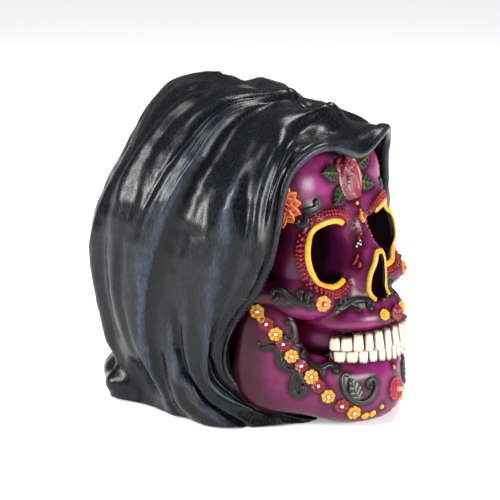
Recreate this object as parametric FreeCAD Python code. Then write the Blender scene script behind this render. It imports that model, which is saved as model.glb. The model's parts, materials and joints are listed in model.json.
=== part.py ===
import FreeCAD, Part
import math
import os
from FreeCAD import Vector as V

# Hooded sugar-skull ornament in painted cast resin, modelled as the pieces it would be
# built from: a draped hood shell, a solid skull, a lower jaw, single teeth, inset black
# cups, raised yellow rims and the relief ornaments that are stuck on the bone.
# Millimetres, +Z up, the face looks along -Y, origin on the resting plane under the
# middle of the whole object. +X is the figure's own left side.

# ---- driving dimensions ----------------------------------------------------
PAD_THICKNESS = 1.0          # felt pads under the base
PAD_RADIUS = 6.0
HEM_Z = PAD_THICKNESS        # the hood's hem and the base plate start on the pads
HOOD_WALL = 4.0              # thickness of the hood's cloth
BASE_THICKNESS = 3.0

# Eye sockets, in front view: middle, half width and half height of the opening.
SOCKET_X, SOCKET_Z = 21.0, 74.0
SOCKET_HALF_W, SOCKET_HALF_H = 12.6, 12.2
SOCKET_DEPTH = 22.0
CUP_WALL = 1.4               # thickness of the black cups
CUP_FRONT_Y = -46.0          # the cups stop short of the bone's face
NOSE_CUP_FRONT_Y = -58.0
RIM_WIDTH, RIM_HEIGHT = 2.0, 1.1   # yellow line round the sockets and the nose
BEAD_RADIUS = 0.95           # beads of the red lace round the sockets

# The yellow line round the nose opening in front view, open at the bottom: (x, z).
NOSE_LINE = [(-6, 50), (-8.6, 53.5), (-8.6, 58), (-6.4, 63), (-4.8, 68), (-2.6, 72.5), (0, 74),
             (2.6, 72.5), (4.8, 68), (6.4, 63), (8.6, 58), (8.6, 53.5), (6, 50)]

# Tooth rows lie on an ellipse in plan.
ARCH_HALF_W, ARCH_HALF_D, ARCH_Y = 24.6, 20.6, -50.5
BITE_Z = 33.0                # height of the line where the rows meet
UPPER_TOOTH_H, LOWER_TOOTH_H = 8.2, 6.4
TEETH_PER_SIDE = 7
TOOTH_DEPTH = 4.6

SINK = 0.6                   # how deep the relief ornaments reach below the bone's surface

# ---- the hood: ribs from the face opening (first) to the middle of the back (last) ----
# Each rib runs from the crown line down to the hem. Points are (half width, y, z).
HOOD_RIBS = [
    [(0, -56, 113), (21, -54, 121), (37.5, -49.5, 113), (44, -45.5, 95), (46.5, -42.5, 77),
     (48, -33, 58), (47.5, -20, 37), (42, -24, 16), (20, -46, HEM_Z)],
    [(0, -42, 130.5), (20, -38, 127), (38.5, -39.5, 116), (49, -39, 98), (53, -37.5, 80),
     (54.5, -29, 60), (53, -17, 38), (50, -17.5, 15), (26, -45, HEM_Z)],
    [(0, -34, 131), (19, -28, 129.5), (38, -26, 118), (50, -24, 100), (55, -22, 80),
     (56.5, -17, 60), (56, -11, 39), (54, -10, 16), (45, -28, HEM_Z)],
    [(0, -26, 136), (20, -14, 133.5), (40, -3, 119.5), (51, 6, 99), (55.5, 14, 77),
     (56, 18.5, 53), (54.5, 15, 30), (53, 5, 12), (52, -6, HEM_Z)],
    [(0, -16, 138.5), (16, -3, 138), (33, 9, 130), (46, 20, 112), (52.5, 28, 89),
     (53, 32, 61), (50, 30, 36), (45, 24, 14), (45, 20, HEM_Z)],
    [(0, -6, 140), (13, 9, 139.5), (29, 22, 131), (42, 33, 112), (48, 42, 90),
     (48.5, 46, 62), (44.5, 45, 36), (46, 42, 13), (45, 40, HEM_Z)],
    [(0, 4, 140.5), (9.5, 19, 139.5), (21, 34, 131), (29, 48, 112), (33.5, 57, 88),
     (34, 59.5, 60), (31, 56.5, 34), (34, 56, 11), (32, 54, HEM_Z)],
    [(0, 15, 140.5), (0, 28, 139), (0, 46, 131), (0, 62, 112), (0, 71.5, 87),
     (0, 74, 60), (0, 70, 34), (0, 73, 11), (0, 71, HEM_Z)],
]

# ---- the skull and jaw: ellipsoids that are fused. ------------------------------------
# (half x of the middle, y, z), (radii), turn about Z in degrees. A middle off X = 0 is
# made on both sides.
SKULL_LUMPS = [
    ((0, 4, 86), (47.5, 54, 45), 0),          # braincase
    ((18, -31, 98), (22, 19, 20), 0),         # forehead bosses
    ((0, -28, 66), (34, 23, 27), 0),          # block behind the face
    ((17, -41.5, 88), (20, 14.5, 9), 0),      # brows
    ((34, -40, 74), (6.5, 11.5, 16), 0),      # outer rims of the sockets
    ((30, -45.5, 55.5), (11, 12.5, 8.5), 0),  # cheekbones
    ((0, -46, 78), (7.5, 12.5, 13), 0),       # bridge of the nose
    ((0, -49, 62), (13.5, 17, 17), 0),        # nose
    ((17, -43, 56), (15, 14, 12), 0),         # upper jaw beside the nose
    ((0, -47, 46), (25.5, 24.5, 10), 0),      # gum above the upper teeth
    ((39.5, -32, 57.5), (4.6, 21, 5.5), -14),  # cheek arches
]
JAW_LUMPS = [
    ((0, -58, 13.5), (15, 13.5, 12.5), 0),    # chin
    ((13, -56, 14.5), (16, 10.5, 12), 28),    # front of the jaw
    ((27.5, -45, 19), (8.5, 17, 10.5), -35),  # side of the jaw
    ((35.5, -30, 32), (4.2, 9.5, 21), -18),   # upright branch
    ((0, -48.5, 21), (25, 21.5, 8.5), 0),     # gum below the lower teeth
]
JAW_HOLLOW = ((0, -28, 18), (23, 32, 36))     # room behind the jaw
NECK_RADIUS, NECK_Y = 23.0, 12.0              # foot of the skull inside the hood

# ---- relief ornaments: places as (half x, y, z) close to the bone's surface ------------
TEMPLE_FLOWER = (32.5, -41, 94)
TEMPLE_SCROLL = [(21, -52.5, 99), (24, -51.8, 96.5), (27, -50.5, 95.5)]
ROSE = (0, -51, 100)
ROSE_LEAVES = [((-15, -48, 105), 150), ((-13, -52, 94), 215), ((13, -51, 95), -35), ((9, -47, 109), 40)]
GEM = (0, -55, 85)
BRIDGE_DOTS = [(0, -54, 90), (0, -57, 80.5), (0, -59, 77.5)]
CHEEK_FLOWER = (31.5, -58, 55.5)
CHEEK_SCROLL_BACK = [(36, -55, 57), (40, -47, 58), (44, -38, 60), (46, -32, 61)]
CHEEK_SCROLL_FRONT = [(26, -60, 55), (21, -61, 53), (16, -65, 50), (11, -69, 48)]
LIP_ROSETTE = (9.5, -70, 47)
LIP_ROSE = (0, -72, 46.5)
CHIN_FLOWER = (0, -72, 14)
CHIN_DOTS = [(0, -72, 24.5), (0, -70, 5.5)]
CHIN_SCROLL = [(20, -60, 22), (19, -62, 14), (13, -67, 10), (8.5, -70, 13), (10, -69, 18)]
JAW_SCROLL_UPPER = [(42, -33, 47), (41, -36, 42), (38, -42, 36), (33, -49, 31), (28, -54, 28), (25, -57, 26)]
JAW_SCROLL_LOWER = [(43, -26, 38), (41, -32, 34), (38, -38, 29), (36, -41, 24), (33, -45, 20), (31, -47, 17)]
# The garland of flowers down the jaw, from the jaw's hinge to beside the chin.
GARLAND = [(44, -27, 50), (43, -34, 41), (39, -42, 32), (33, -50, 23), (25, -57, 14), (18, -63, 9)]
GARLAND_FLOWERS = 11
JAW_DOTS = [(14, -66, 8), (11, -68, 8), (6.5, -71, 9.5)]
FLOWER_RADIUS = 2.9
FLOWER_RELIEF = 1.5
SCROLL_RELIEF = 1.3
SCROLL_WIDTH = 4.2


# ---- small tools -------------------------------------------------------------------------
def place(point, side=1):
    """A point given as (half x, y, z) as a vector on one side of the figure."""
    return V(side * point[0], point[1], point[2])


def ellipsoid(middle, radii, turn=0):
    """A closed ellipsoid whose axes are turned about Z by some degrees; its seam is at the back."""
    matrix = FreeCAD.Matrix()
    matrix.rotateZ(math.radians(90))
    matrix.scale(*radii)
    matrix.rotateZ(math.radians(turn))
    matrix.move(V(*middle))
    return Part.makeSphere(1).transformGeometry(matrix)


def lump_list(table, grow=0.0):
    """The ellipsoids of a table, made on both sides, each grown by some millimetres."""
    found = []
    for middle, radii, turn in table:
        grown = [r + grow for r in radii]
        found.append(ellipsoid(middle, grown, turn))
        if middle[0]:
            found.append(ellipsoid((-middle[0], middle[1], middle[2]), grown, -turn))
    return found


def fused(solids):
    """Some solids fused into one shape."""
    return solids[0].multiFuse(solids[1:])


def above(z):
    """A large block that holds everything above a height."""
    return Part.makeBox(400, 400, 400, V(-200, -200, z))


def seat(body, point):
    """The nearest point of a body's surface, and the outward normal there."""
    distance, pairs, info = body.distToShape(Part.Vertex(point))
    surface_point = pairs[0][0]
    kind, index, where = info[0][:3]
    if kind == "Face":
        normal = body.Faces[index].normalAt(*where)
    else:
        normal = point.sub(surface_point)
    if distance > 1e-6 and normal.dot(point.sub(surface_point)) < 0:
        if not body.isInside(point, 1e-6, True):
            normal = normal.negative()
    normal.normalize()
    return surface_point, normal


def on_bone(body, shape, point, spin=0):
    """Moves a shape made about the origin, +Z outwards, to a body's surface."""
    where, normal = seat(body, point)
    turn = FreeCAD.Rotation(V(0, 0, 1), normal)
    level = FreeCAD.Rotation(V(0, 0, 1), spin)
    moved = shape.copy()
    moved.Placement = FreeCAD.Placement(where, turn.multiply(level))
    return moved


def scalloped_disc(radius, petals, height, notch=0.72):
    """A flower-shaped plate with round petals, lying on Z = -SINK."""
    edges = []
    step = 2 * math.pi / petals
    for k in range(petals):
        ends = [(k - 0.5) * step, k * step, (k + 0.5) * step]
        reach = [notch * radius, radius, notch * radius]
        start, top, end = [V(r * math.cos(a), r * math.sin(a), -SINK) for a, r in zip(ends, reach)]
        edges.append(Part.Arc(start, top, end).toShape())
    return Part.Face(Part.Wire(edges)).extrude(V(0, 0, height + SINK))


def flower(radius, petals, relief):
    """Petal plate with a smaller second layer and a round centre on top."""
    outer = scalloped_disc(radius, petals, 0.6 * relief)
    inner = scalloped_disc(0.62 * radius, petals, 0.9 * relief, 0.8)
    inner.rotate(V(), V(0, 0, 1), 180 / petals)
    return outer.fuse(inner)


def pearl(radius, height):
    """The round centre bead of a flower, seated at a height above the surface."""
    return Part.makeSphere(radius, V(0, 0, height))


def leaf(length, width, height):
    """A pointed leaf plate along +X about the origin, lying on Z = -SINK."""
    root, tip = V(-length / 2, 0, -SINK), V(length / 2, 0, -SINK)
    up = Part.Arc(root, V(0, width / 2, -SINK), tip).toShape()
    down = Part.Arc(tip, V(0, -width / 2, -SINK), root).toShape()
    return Part.Face(Part.Wire([up, down])).extrude(V(0, 0, height + SINK))


def scroll_leaf(length, width, height):
    """A leaf that reaches past its ends, so that leaves in a chain overlap."""
    return leaf(length + 0.7 * width, width, height)


def dash(length, width, height):
    """A plate with round ends along +X that lies on Z = 0 and just fills its length."""
    half = width / 2
    reach = max(length / 2 - half, 0.05)
    corners = [V(-reach, -half, 0), V(reach, -half, 0), V(reach, half, 0), V(-reach, half, 0)]
    edges = [
        Part.makeLine(corners[0], corners[1]),
        Part.Arc(corners[1], V(reach + half, 0, 0), corners[2]).toShape(),
        Part.makeLine(corners[2], corners[3]),
        Part.Arc(corners[3], V(-reach - half, 0, 0), corners[0]).toShape(),
    ]
    return Part.Face(Part.Wire(edges)).extrude(V(0, 0, height))


def chain_on(body, points, width, height, plate):
    """Plates laid end to end on a body, from each point to the next."""
    found = []
    for first, second in zip(points, points[1:]):
        where, normal = seat(body, first.add(second).multiply(0.5))
        forward = second.sub(first)
        forward = forward.sub(V(normal).multiply(forward.dot(normal)))
        piece = plate(forward.Length, width, height)
        sideways = normal.cross(forward)
        piece.Placement = FreeCAD.Placement(where, FreeCAD.Rotation(forward, sideways, normal, "ZXY"))
        found.append(piece)
    return Part.makeCompound(found)


def scroll_on(body, points):
    """A chain of leaf plates that follows points on a body, like a carved scroll."""
    return chain_on(body, points, SCROLL_WIDTH, SCROLL_RELIEF, scroll_leaf)


def along(points, count):
    """Points evenly spaced along a smooth curve through some points."""
    curve = Part.BSplineCurve()
    curve.interpolate(points)
    edge = curve.toShape()
    return edge.discretize(count)


# ---- the hood ------------------------------------------------------------------------------
def rib_curve(points):
    """A smooth curve through a rib's points, with evenly numbered parameters."""
    curve = Part.BSplineCurve()
    steps = [k / (len(points) - 1) for k in range(len(points))]
    curve.interpolate(Points=points, Parameters=steps)
    return curve


def skin(rows):
    """A smooth face through rows of points."""
    wires = [Part.Wire(rib_curve(row).toShape()) for row in rows]
    return Part.makeLoft(wires, False, False, False, 3).Faces[0]


def with_mirror(points, mirror_first):
    """Points carried on across the middle plane, so that a curve crosses it square."""
    others = [V(-p.x, p.y, p.z) for p in reversed(points)]
    if mirror_first:
        return others[:-1] + points
    return points + others[1:]


def fine_rows(rows, rib_count, station_count):
    """Rows resampled on smooth curves: first along each rib, then across the ribs."""
    rib_lines = [rib_curve(with_mirror(row, True)) for row in rows]
    stations = [0.5 + 0.5 * k / (station_count - 1) for k in range(station_count)]
    columns = [[line.value(t) for line in rib_lines] for t in stations]
    across = [rib_curve(with_mirror(column, False)) for column in columns]
    ribs = [0.5 * k / (rib_count - 1) for k in range(rib_count)]
    return [[line.value(s) for line in across] for s in ribs]


def pushed_in(rows, distance):
    """Rows moved inwards along the normals of the surface they lie on."""
    last_row, last_station = len(rows) - 1, len(rows[0]) - 1
    moved = []
    for i, row in enumerate(rows):
        before, after = rows[max(i - 1, 0)], rows[min(i + 1, last_row)]
        new_row = []
        for j, point in enumerate(row):
            down = row[min(j + 1, last_station)].sub(row[max(j - 1, 0)])
            normal = down.cross(after[j].sub(before[j]))
            if i == last_row and j == 0:
                normal = V(0, 0, 1)
            normal.normalize()
            new_point = point.sub(normal.multiply(distance))
            if i == last_row or j == 0:
                new_point.x = 0
            if j == last_station:
                new_point.z = HEM_Z
            new_row.append(new_point)
        moved.append(new_row)
    return moved


def hood_shell():
    """The hood as one closed wall: two outer halves, two inner halves, rim and hem."""
    outer_rows = fine_rows([[V(*p) for p in rib] for rib in HOOD_RIBS], 15, 17)
    inner_rows = pushed_in(outer_rows, HOOD_WALL)
    outer, inner = skin(outer_rows), skin(inner_rows)
    rim = Part.makeRuledSurface(rib_curve(outer_rows[0]).toShape(), rib_curve(inner_rows[0]).toShape())
    hem_edges = []
    for face in (outer, inner):
        hem_edges.append(min(face.Edges, key=lambda e: e.BoundBox.ZMax))
    hem = Part.makeRuledSurface(*hem_edges)
    half = [outer, inner, rim, hem]
    faces = half + [face.mirror(V(), V(1, 0, 0)) for face in half]
    shell = Part.makeShell(faces)
    shell.sewShape()
    solid = Part.makeSolid(shell)
    if solid.Volume < 0:
        solid.reverse()
    return solid


def base_plate(hood):
    """The plate that closes the underside inside the hood's hem."""
    inset = HOOD_WALL + 0.6
    middle = V(0, 16, HEM_Z)
    outline = []
    for side in (1, -1):
        hem = [place(rib[-1], side) for rib in HOOD_RIBS]
        outline += hem if side == 1 else hem[-2::-1]
    pulled = []
    for point in outline:
        inwards = middle.sub(point)
        inwards.normalize()
        pulled.append(point.add(inwards.multiply(inset)))
    curve = Part.BSplineCurve()
    curve.interpolate(pulled)
    closing = Part.makeLine(pulled[-1], pulled[0])
    face = Part.Face(Part.Wire([curve.toShape(), closing]))
    return face.extrude(V(0, 0, BASE_THICKNESS)).cut(hood)


def felt_pads():
    """Four round pads under the hem and the base plate."""
    spots = [(34, -12), (-34, -12), (26, 48), (-26, 48)]
    pads = [Part.makeCylinder(PAD_RADIUS, PAD_THICKNESS, V(x, y, 0)) for x, y in spots]
    return Part.makeCompound(pads)


# ---- bone ------------------------------------------------------------------------------------
def socket_cutter(side, shrink=0.0):
    """The rounded hollow of one eye socket."""
    radii = (SOCKET_HALF_W - shrink, SOCKET_DEPTH - shrink, SOCKET_HALF_H - shrink)
    return ellipsoid((side * SOCKET_X, -48, SOCKET_Z), radii, side * 6)


def nose_cutter(shrink=0.0):
    """The pear-shaped hollow of the nose: two lobes below and a narrow top."""
    lobes = [
        ellipsoid((x, -60, 56.5), (4.6 - shrink, 15 - shrink, 6.5 - shrink))
        for x in (-3.2, 3.2)
    ]
    top = ellipsoid((0, -60, 63.5), (3.9 - shrink, 15 - shrink, 9.2 - shrink))
    return top.multiFuse(lobes)


def socket_ring(side, grow, angles):
    """Points just in front of the bone round one socket; 0 degrees is on the outer side."""
    points = []
    for angle in angles:
        a = math.radians(angle)
        x = SOCKET_X + (SOCKET_HALF_W + grow) * math.cos(a)
        z = SOCKET_Z + (SOCKET_HALF_H + grow) * math.sin(a)
        points.append(V(side * x, -55, z))
    return points


def lace(side, bone):
    """Rows of small beads round the outer part of one socket."""
    beads = []
    for grow, count in ((3.4, 28), (5.4, 32)):
        angles = [360 * k / count for k in range(count)]
        for point in socket_ring(side, grow, angles):
            if abs(point.x) > 9.0 and point.z > 62:
                where, normal = seat(bone, point)
                beads.append(Part.makeSphere(BEAD_RADIUS, where.add(normal.multiply(BEAD_RADIUS))))
    return Part.makeCompound(beads)


def teeth(lower):
    """One row of single teeth on the arch, as separate solids."""
    found = []
    total = 2 * TEETH_PER_SIDE
    spread = math.radians(78)
    height = LOWER_TOOTH_H if lower else UPPER_TOOTH_H
    for k in range(total):
        a = spread * (2 * (k + 0.5) / total - 1)
        share = abs(2 * (k + 0.5) / total - 1)
        x = ARCH_HALF_W * math.sin(a)
        y = ARCH_Y - ARCH_HALF_D * math.cos(a)
        # Width of this tooth: its share of the arch, less a small gap.
        dx, dy = ARCH_HALF_W * math.cos(a), ARCH_HALF_D * math.sin(a)
        width = math.hypot(dx, dy) * 2 * spread / total - 0.25
        tall = height * (1 - 0.22 * share)
        front, back = width / 2, 0.35 * width
        deep = TOOTH_DEPTH / 2
        corners = [(-front, -deep), (front, -deep), (back, deep), (-back, deep)]
        plan = Part.makePolygon([V(px, py, 0) for px, py in corners + corners[:1]])
        block = Part.Face(plan).extrude(V(0, 0, tall))
        block = block.makeFillet(0.7, block.Edges)
        turn = math.degrees(math.atan2(x / ARCH_HALF_W ** 2, (ARCH_Y - y) / ARCH_HALF_D ** 2))
        if lower:
            block.translate(V(0, 0.7, -tall))
        block.rotate(V(), V(0, 0, 1), turn)
        block.translate(V(x, y + 0.6, BITE_Z))
        found.append(block)
    return Part.makeCompound(found)


# ---- building ------------------------------------------------------------------------------------
def cut_all(shape, *others):
    """A shape less some others, solid by solid and cut by cut, with slivers dropped."""
    found = []
    for solid in shape.Solids:
        for other in others:
            if solid.Solids and solid.BoundBox.intersect(other.BoundBox):
                solid = solid.cut(other)
        found += [s for s in solid.Solids if s.Volume > 0.02 and s.isValid()]
    if not found:
        raise ValueError("nothing is left of a piece")
    return found[0] if len(found) == 1 else Part.makeCompound(found)


def joined(shape):
    """The plates of a chain fused where they overlap."""
    solids = shape.Solids
    return solids[0].multiFuse(solids[1:]) if len(solids) > 1 else shape


def skull_and_jaw(nodes):
    """The bone nodes with their teeth, and the lumps that stand for their surface."""
    skull_lumps, jaw_lumps = lump_list(SKULL_LUMPS), lump_list(JAW_LUMPS)
    neck_bottom = HEM_Z + BASE_THICKNESS
    neck = Part.makeCylinder(NECK_RADIUS, 60, V(0, NECK_Y, neck_bottom))
    hollows = [socket_cutter(1), socket_cutter(-1), nose_cutter()]
    nodes["skull"] = cut_all(fused(skull_lumps + [neck]), *hollows)
    jaw = fused(jaw_lumps).common(above(HEM_Z))
    nodes["lower_jaw"] = cut_all(jaw, ellipsoid(*JAW_HOLLOW), *skull_lumps)
    for name, lower in (("upper_teeth", False), ("lower_teeth", True)):
        nodes[name] = cut_all(teeth(lower), *skull_lumps, *jaw_lumps)
    return skull_lumps, jaw_lumps


def cups(nodes):
    """The black cups set into the sockets and the nose, cut off behind the bone's face."""
    behind = Part.makeBox(90, 60, 60, V(-45, CUP_FRONT_Y, 40))
    for name, side in (("right", -1), ("left", 1)):
        cup = socket_cutter(side).cut(socket_cutter(side, CUP_WALL))
        nodes[f"eye_cup_{name}"] = cut_all(cup.common(behind))
    behind.translate(V(0, NOSE_CUP_FRONT_Y - CUP_FRONT_Y, 0))
    cup = nose_cutter().cut(nose_cutter(CUP_WALL))
    nodes["nose_cup"] = cut_all(cup.common(behind))


def side_ornaments(nodes, name, side, bone, bone_lumps):
    """The relief ornaments that come once on each side."""
    def spots(table):
        return [place(p, side) for p in table]

    def add(label, shape, *extra):
        nodes[f"{label}_{name}"] = cut_all(shape, *bone_lumps, *extra)

    def add_chain(label, shape):
        nodes[f"{label}_{name}"] = joined(cut_all(shape, *bone_lumps))

    line = socket_ring(side, 0.9, [-145 + 290 * k / 14 for k in range(15)])
    nodes[f"eye_rim_{name}"] = chain_on(bone, line, RIM_WIDTH, RIM_HEIGHT, dash)
    nodes[f"eye_lace_{name}"] = lace(side, bone)
    add("temple_flower", on_bone(bone, scalloped_disc(7.6, 9, 2.6), place(TEMPLE_FLOWER, side)))
    add_chain("temple_scroll", scroll_on(bone, spots(TEMPLE_SCROLL)))
    add("cheek_flower", on_bone(bone, flower(4.2, 6, FLOWER_RELIEF + 0.4), place(CHEEK_FLOWER, side)))
    add_chain("cheek_scroll_back", scroll_on(bone, spots(CHEEK_SCROLL_BACK)))
    add_chain("cheek_scroll_front", scroll_on(bone, spots(CHEEK_SCROLL_FRONT)))
    add("lip_rosette", on_bone(bone, flower(2.6, 6, FLOWER_RELIEF), place(LIP_ROSETTE, side)))
    add_chain("chin_scroll", scroll_on(bone, spots(CHIN_SCROLL)))
    add_chain("jaw_scroll_upper", scroll_on(bone, spots(JAW_SCROLL_UPPER)))
    add_chain("jaw_scroll_lower", scroll_on(bone, spots(JAW_SCROLL_LOWER)))

    centres = along(spots(GARLAND), GARLAND_FLOWERS)
    plate = scalloped_disc(FLOWER_RADIUS, 7, FLOWER_RELIEF)
    for colour, chosen in (("yellow", centres[0::2]), ("red", centres[1::2])):
        add(f"garland_{colour}", Part.makeCompound([on_bone(bone, plate, p) for p in chosen]))
    pearls = Part.makeCompound([on_bone(bone, pearl(0.9, FLOWER_RELIEF + 0.3), p) for p in centres])
    flowers = [nodes[f"garland_{colour}_{name}"] for colour in ("yellow", "red")]
    add("garland_pearls", pearls, *flowers)
    dots = [Part.makeSphere(1.3, seat(bone, p)[0]) for p in spots(JAW_DOTS)]
    add("jaw_dots", Part.makeCompound(dots))


def middle_ornaments(nodes, bone, bone_lumps):
    """The relief ornaments on the middle line of the face."""
    def add(label, shape, *extra):
        nodes[label] = cut_all(shape, *bone_lumps, *extra)

    line = [V(x, -62, z) for x, z in NOSE_LINE]
    nodes["nose_rim"] = chain_on(bone, line, RIM_WIDTH, RIM_HEIGHT, dash)
    add("forehead_rose", on_bone(bone, ellipsoid((0, 0, 0), (6.2, 9.4, 4.2)), V(*ROSE)))
    for k, (spot, angle) in enumerate(ROSE_LEAVES):
        plate = on_bone(bone, leaf(9.5, 7.0, 1.5), V(*spot), angle)
        add(f"rose_leaf_{k + 1}", plate, nodes["forehead_rose"])
    add("brow_gem", on_bone(bone, ellipsoid((0, 0, 0), (1.9, 2.8, 1.8)), V(*GEM)))
    dots = [Part.makeSphere(0.9, seat(bone, V(*p))[0]) for p in BRIDGE_DOTS]
    add("bridge_dots", Part.makeCompound(dots), nodes["brow_gem"])
    add("lip_rose", on_bone(bone, ellipsoid((0, 0, 0), (3.4, 3.4, 2.6)), V(*LIP_ROSE)))
    add("chin_flower", on_bone(bone, flower(6.2, 8, 2.2), V(*CHIN_FLOWER)))
    add("chin_flower_centre", on_bone(bone, pearl(1.6, 2.4), V(*CHIN_FLOWER)), nodes["chin_flower"])
    dots = [Part.makeSphere(1.1, seat(bone, V(*p))[0]) for p in CHIN_DOTS]
    add("chin_dots", Part.makeCompound(dots))


def build():
    """Every node of the figure, by name."""
    nodes = {"hood_shell": hood_shell()}
    nodes["base_plate"] = base_plate(nodes["hood_shell"])
    nodes["felt_pads"] = felt_pads()
    skull_lumps, jaw_lumps = skull_and_jaw(nodes)
    cups(nodes)
    bone_lumps = skull_lumps + jaw_lumps
    bone = Part.makeCompound([nodes["skull"], nodes["lower_jaw"]])
    for name, side in (("right", -1), ("left", 1)):
        side_ornaments(nodes, name, side, bone, bone_lumps)
    middle_ornaments(nodes, bone, bone_lumps)
    return nodes


def main():
    os.makedirs("parts", exist_ok=True)
    nodes = build()
    box = Part.makeCompound(list(nodes.values())).optimalBoundingBox(True, False)
    middle = round((box.YMin + box.YMax) / 2, 1)
    print("the figure moves", -middle, "mm along Y to stand over the origin")
    for name, shape in nodes.items():
        shape.translate(V(0, -middle, 0))
        shape.exportStep(f"parts/{name}.step")
        print(f"{name}: {len(shape.Solids)} solids, {shape.Volume / 1000:.2f} cm3, valid {shape.isValid()}")


main()
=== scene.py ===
import json
import math
import random

import bmesh
import bpy
import numpy as np
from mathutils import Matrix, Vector
from mathutils.kdtree import KDTree

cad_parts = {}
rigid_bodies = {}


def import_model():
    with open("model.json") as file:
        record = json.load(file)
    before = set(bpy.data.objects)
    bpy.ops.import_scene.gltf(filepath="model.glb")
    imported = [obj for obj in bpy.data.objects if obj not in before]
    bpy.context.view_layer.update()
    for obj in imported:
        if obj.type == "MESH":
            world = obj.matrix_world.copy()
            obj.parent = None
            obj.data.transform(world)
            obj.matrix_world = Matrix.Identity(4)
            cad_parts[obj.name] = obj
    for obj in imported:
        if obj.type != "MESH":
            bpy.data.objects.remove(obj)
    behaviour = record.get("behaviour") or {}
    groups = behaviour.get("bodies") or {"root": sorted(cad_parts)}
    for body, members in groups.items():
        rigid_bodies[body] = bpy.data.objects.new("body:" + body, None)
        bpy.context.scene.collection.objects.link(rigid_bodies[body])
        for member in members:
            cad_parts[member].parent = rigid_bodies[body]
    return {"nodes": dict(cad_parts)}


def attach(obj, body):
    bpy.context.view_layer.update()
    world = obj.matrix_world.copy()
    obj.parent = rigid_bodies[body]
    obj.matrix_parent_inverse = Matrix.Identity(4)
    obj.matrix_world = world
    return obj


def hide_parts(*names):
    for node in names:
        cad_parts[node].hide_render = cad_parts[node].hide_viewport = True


# Looks of the hooded sugar skull. Shapes are worked out in millimetres in the part's frame
# and scaled to metres when a mesh is made. +X is the figure's left side, the face looks
# along -Y. Ornaments are described on the figure's right side and made on both.

MM = 0.001
SEED = 11
FAR = 1e3                    # a distance beyond everything
SUNK = -0.35                 # height of the edge of raised work, just under the bone's skin

# ---- shapes ----
# Ribs from the face opening to the middle of the back, each from the crown to the hem:
# (half width, y, z). HEM_Z is the lower edge.
HEM_Z = 0.9
HOOD_RIBS = np.array([
    [(0, -56, 113), (21, -53.6, 119.8), (38.4, -46.4, 113), (43.8, -43.4, 97), (46.4, -41.6, 78),
     (48, -33, 58), (47.5, -20, 37), (42, -24, 16), (20, -46, HEM_Z)],
    [(0, -42, 130.5), (20, -38, 127), (38.5, -39.5, 116), (49, -39, 98), (53, -37.5, 80),
     (54.5, -29, 60), (53, -17, 38), (50, -17.5, 15), (26, -45, HEM_Z)],
    [(0, -34, 131), (19, -28, 129.5), (38, -26, 118), (50, -24, 100), (55, -22, 80),
     (56.5, -17, 60), (56, -11, 39), (54, -10, 16), (45, -28, HEM_Z)],
    [(0, -26, 136), (20, -14, 133.5), (40, -3, 119.5), (51, 6, 99), (55.5, 14, 77),
     (56, 18.5, 53), (54.5, 15, 30), (53, 5, 12), (52, -6, HEM_Z)],
    [(0, -16, 138.5), (16, -3, 138), (33, 9, 130), (46, 20, 112), (52.5, 28, 89),
     (53, 32, 61), (50, 30, 36), (45, 24, 14), (45, 20, HEM_Z)],
    [(0, -6, 140), (13, 9, 139.5), (29, 22, 131), (42, 33, 112), (48, 42, 90),
     (48.5, 46, 62), (44.5, 45, 36), (46, 42, 13), (45, 40, HEM_Z)],
    [(0, 4, 140.5), (9.5, 19, 139.5), (21, 34, 131), (29, 48, 112), (33.5, 57, 88),
     (34, 59.5, 60), (31, 56.5, 34), (34, 56, 11), (32, 54, HEM_Z)],
    [(0, 15, 140.5), (0, 28, 139), (0, 46, 131), (0, 62, 112), (0, 71.5, 87),
     (0, 74, 60), (0, 70, 34), (0, 73, 11), (0, 71, HEM_Z)],
], float)
HOOD_COLUMNS, HOOD_ROWS = 541, 241
HOOD_WALL = 3.6
RIM_STEPS = 7                # columns that round the edge of the opening

# The bone is made of egg shapes: (middle, radii, turn about Z in degrees, softness of the join).
SKULL_LUMPS = [
    ((0, 4, 86), (47.5, 54, 45), 0, 8),
    ((17, -31, 98), (22, 19, 20), 0, 8),
    ((0, -28, 66), (34, 22, 27), 0, 6),
    ((16.2, -41.2, 86.6), (16.8, 13.2, 8.5), 0, 6),
    ((32.7, -41.4, 71), (5.9, 11.7, 13.5), 0, 6),
    ((30, -45.5, 55.2), (11, 12.6, 8.2), 0, 6),
    ((0, -45, 78), (7, 11.5, 13), 0, 6),
    ((0, -50, 66), (8.5, 15.5, 12), 0, 6),
    ((0, -48, 57), (14, 17, 12), 0, 6),
    ((17, -43, 56), (15, 14, 12), 0, 6),
    ((0, -47, 46), (25.5, 24.5, 9), 0, 5),
    ((0, -48, 43.2), (24.5, 23.5, 4.6), 0, 4),
    ((18, -37, 36), (8, 19, 11), -10, 4),
    ((39.5, -32, 57.5), (4.6, 21, 5), -14, 4),
    ((0, 0, 26), (27, 27, 32), 0, 6),
]
JAW_LUMPS = [
    ((0, -58.5, 13), (15, 13.5, 12), 0, 6),
    ((0, -58.4, 7.4), (17, 12.8, 9.0), 0, 5),
    ((12, -56, 8), (15, 10.5, 7), 30, 5),
    ((13, -56, 14.5), (16, 10.5, 12), 28, 6),
    ((27.5, -45.5, 18), (9, 18, 13), -35, 6),
    ((37, -33, 24), (6.5, 15, 17), -25, 6),
    ((38.5, -34, 38), (4.6, 12.5, 19), -24, 5),
    ((0, -48.5, 21), (25, 21.5, 8.5), 0, 5),
]
# What is cut out of it: the eye sockets, the nose and the room behind the jaw.
SOCKET = (21.2, -48, 73.2)
SOCKET_RADII = (13.6, 24, 13.2)
SOCKET_TURN = 9
NOSE_LOBES = [((2.2, -62, 57), (4.0, 15, 6.2)), ((0, -62, 63.5), (3.3, 15, 7.5))]
JAW_HOLLOW = ((0, -26, 24), (29, 34, 34))


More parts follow.
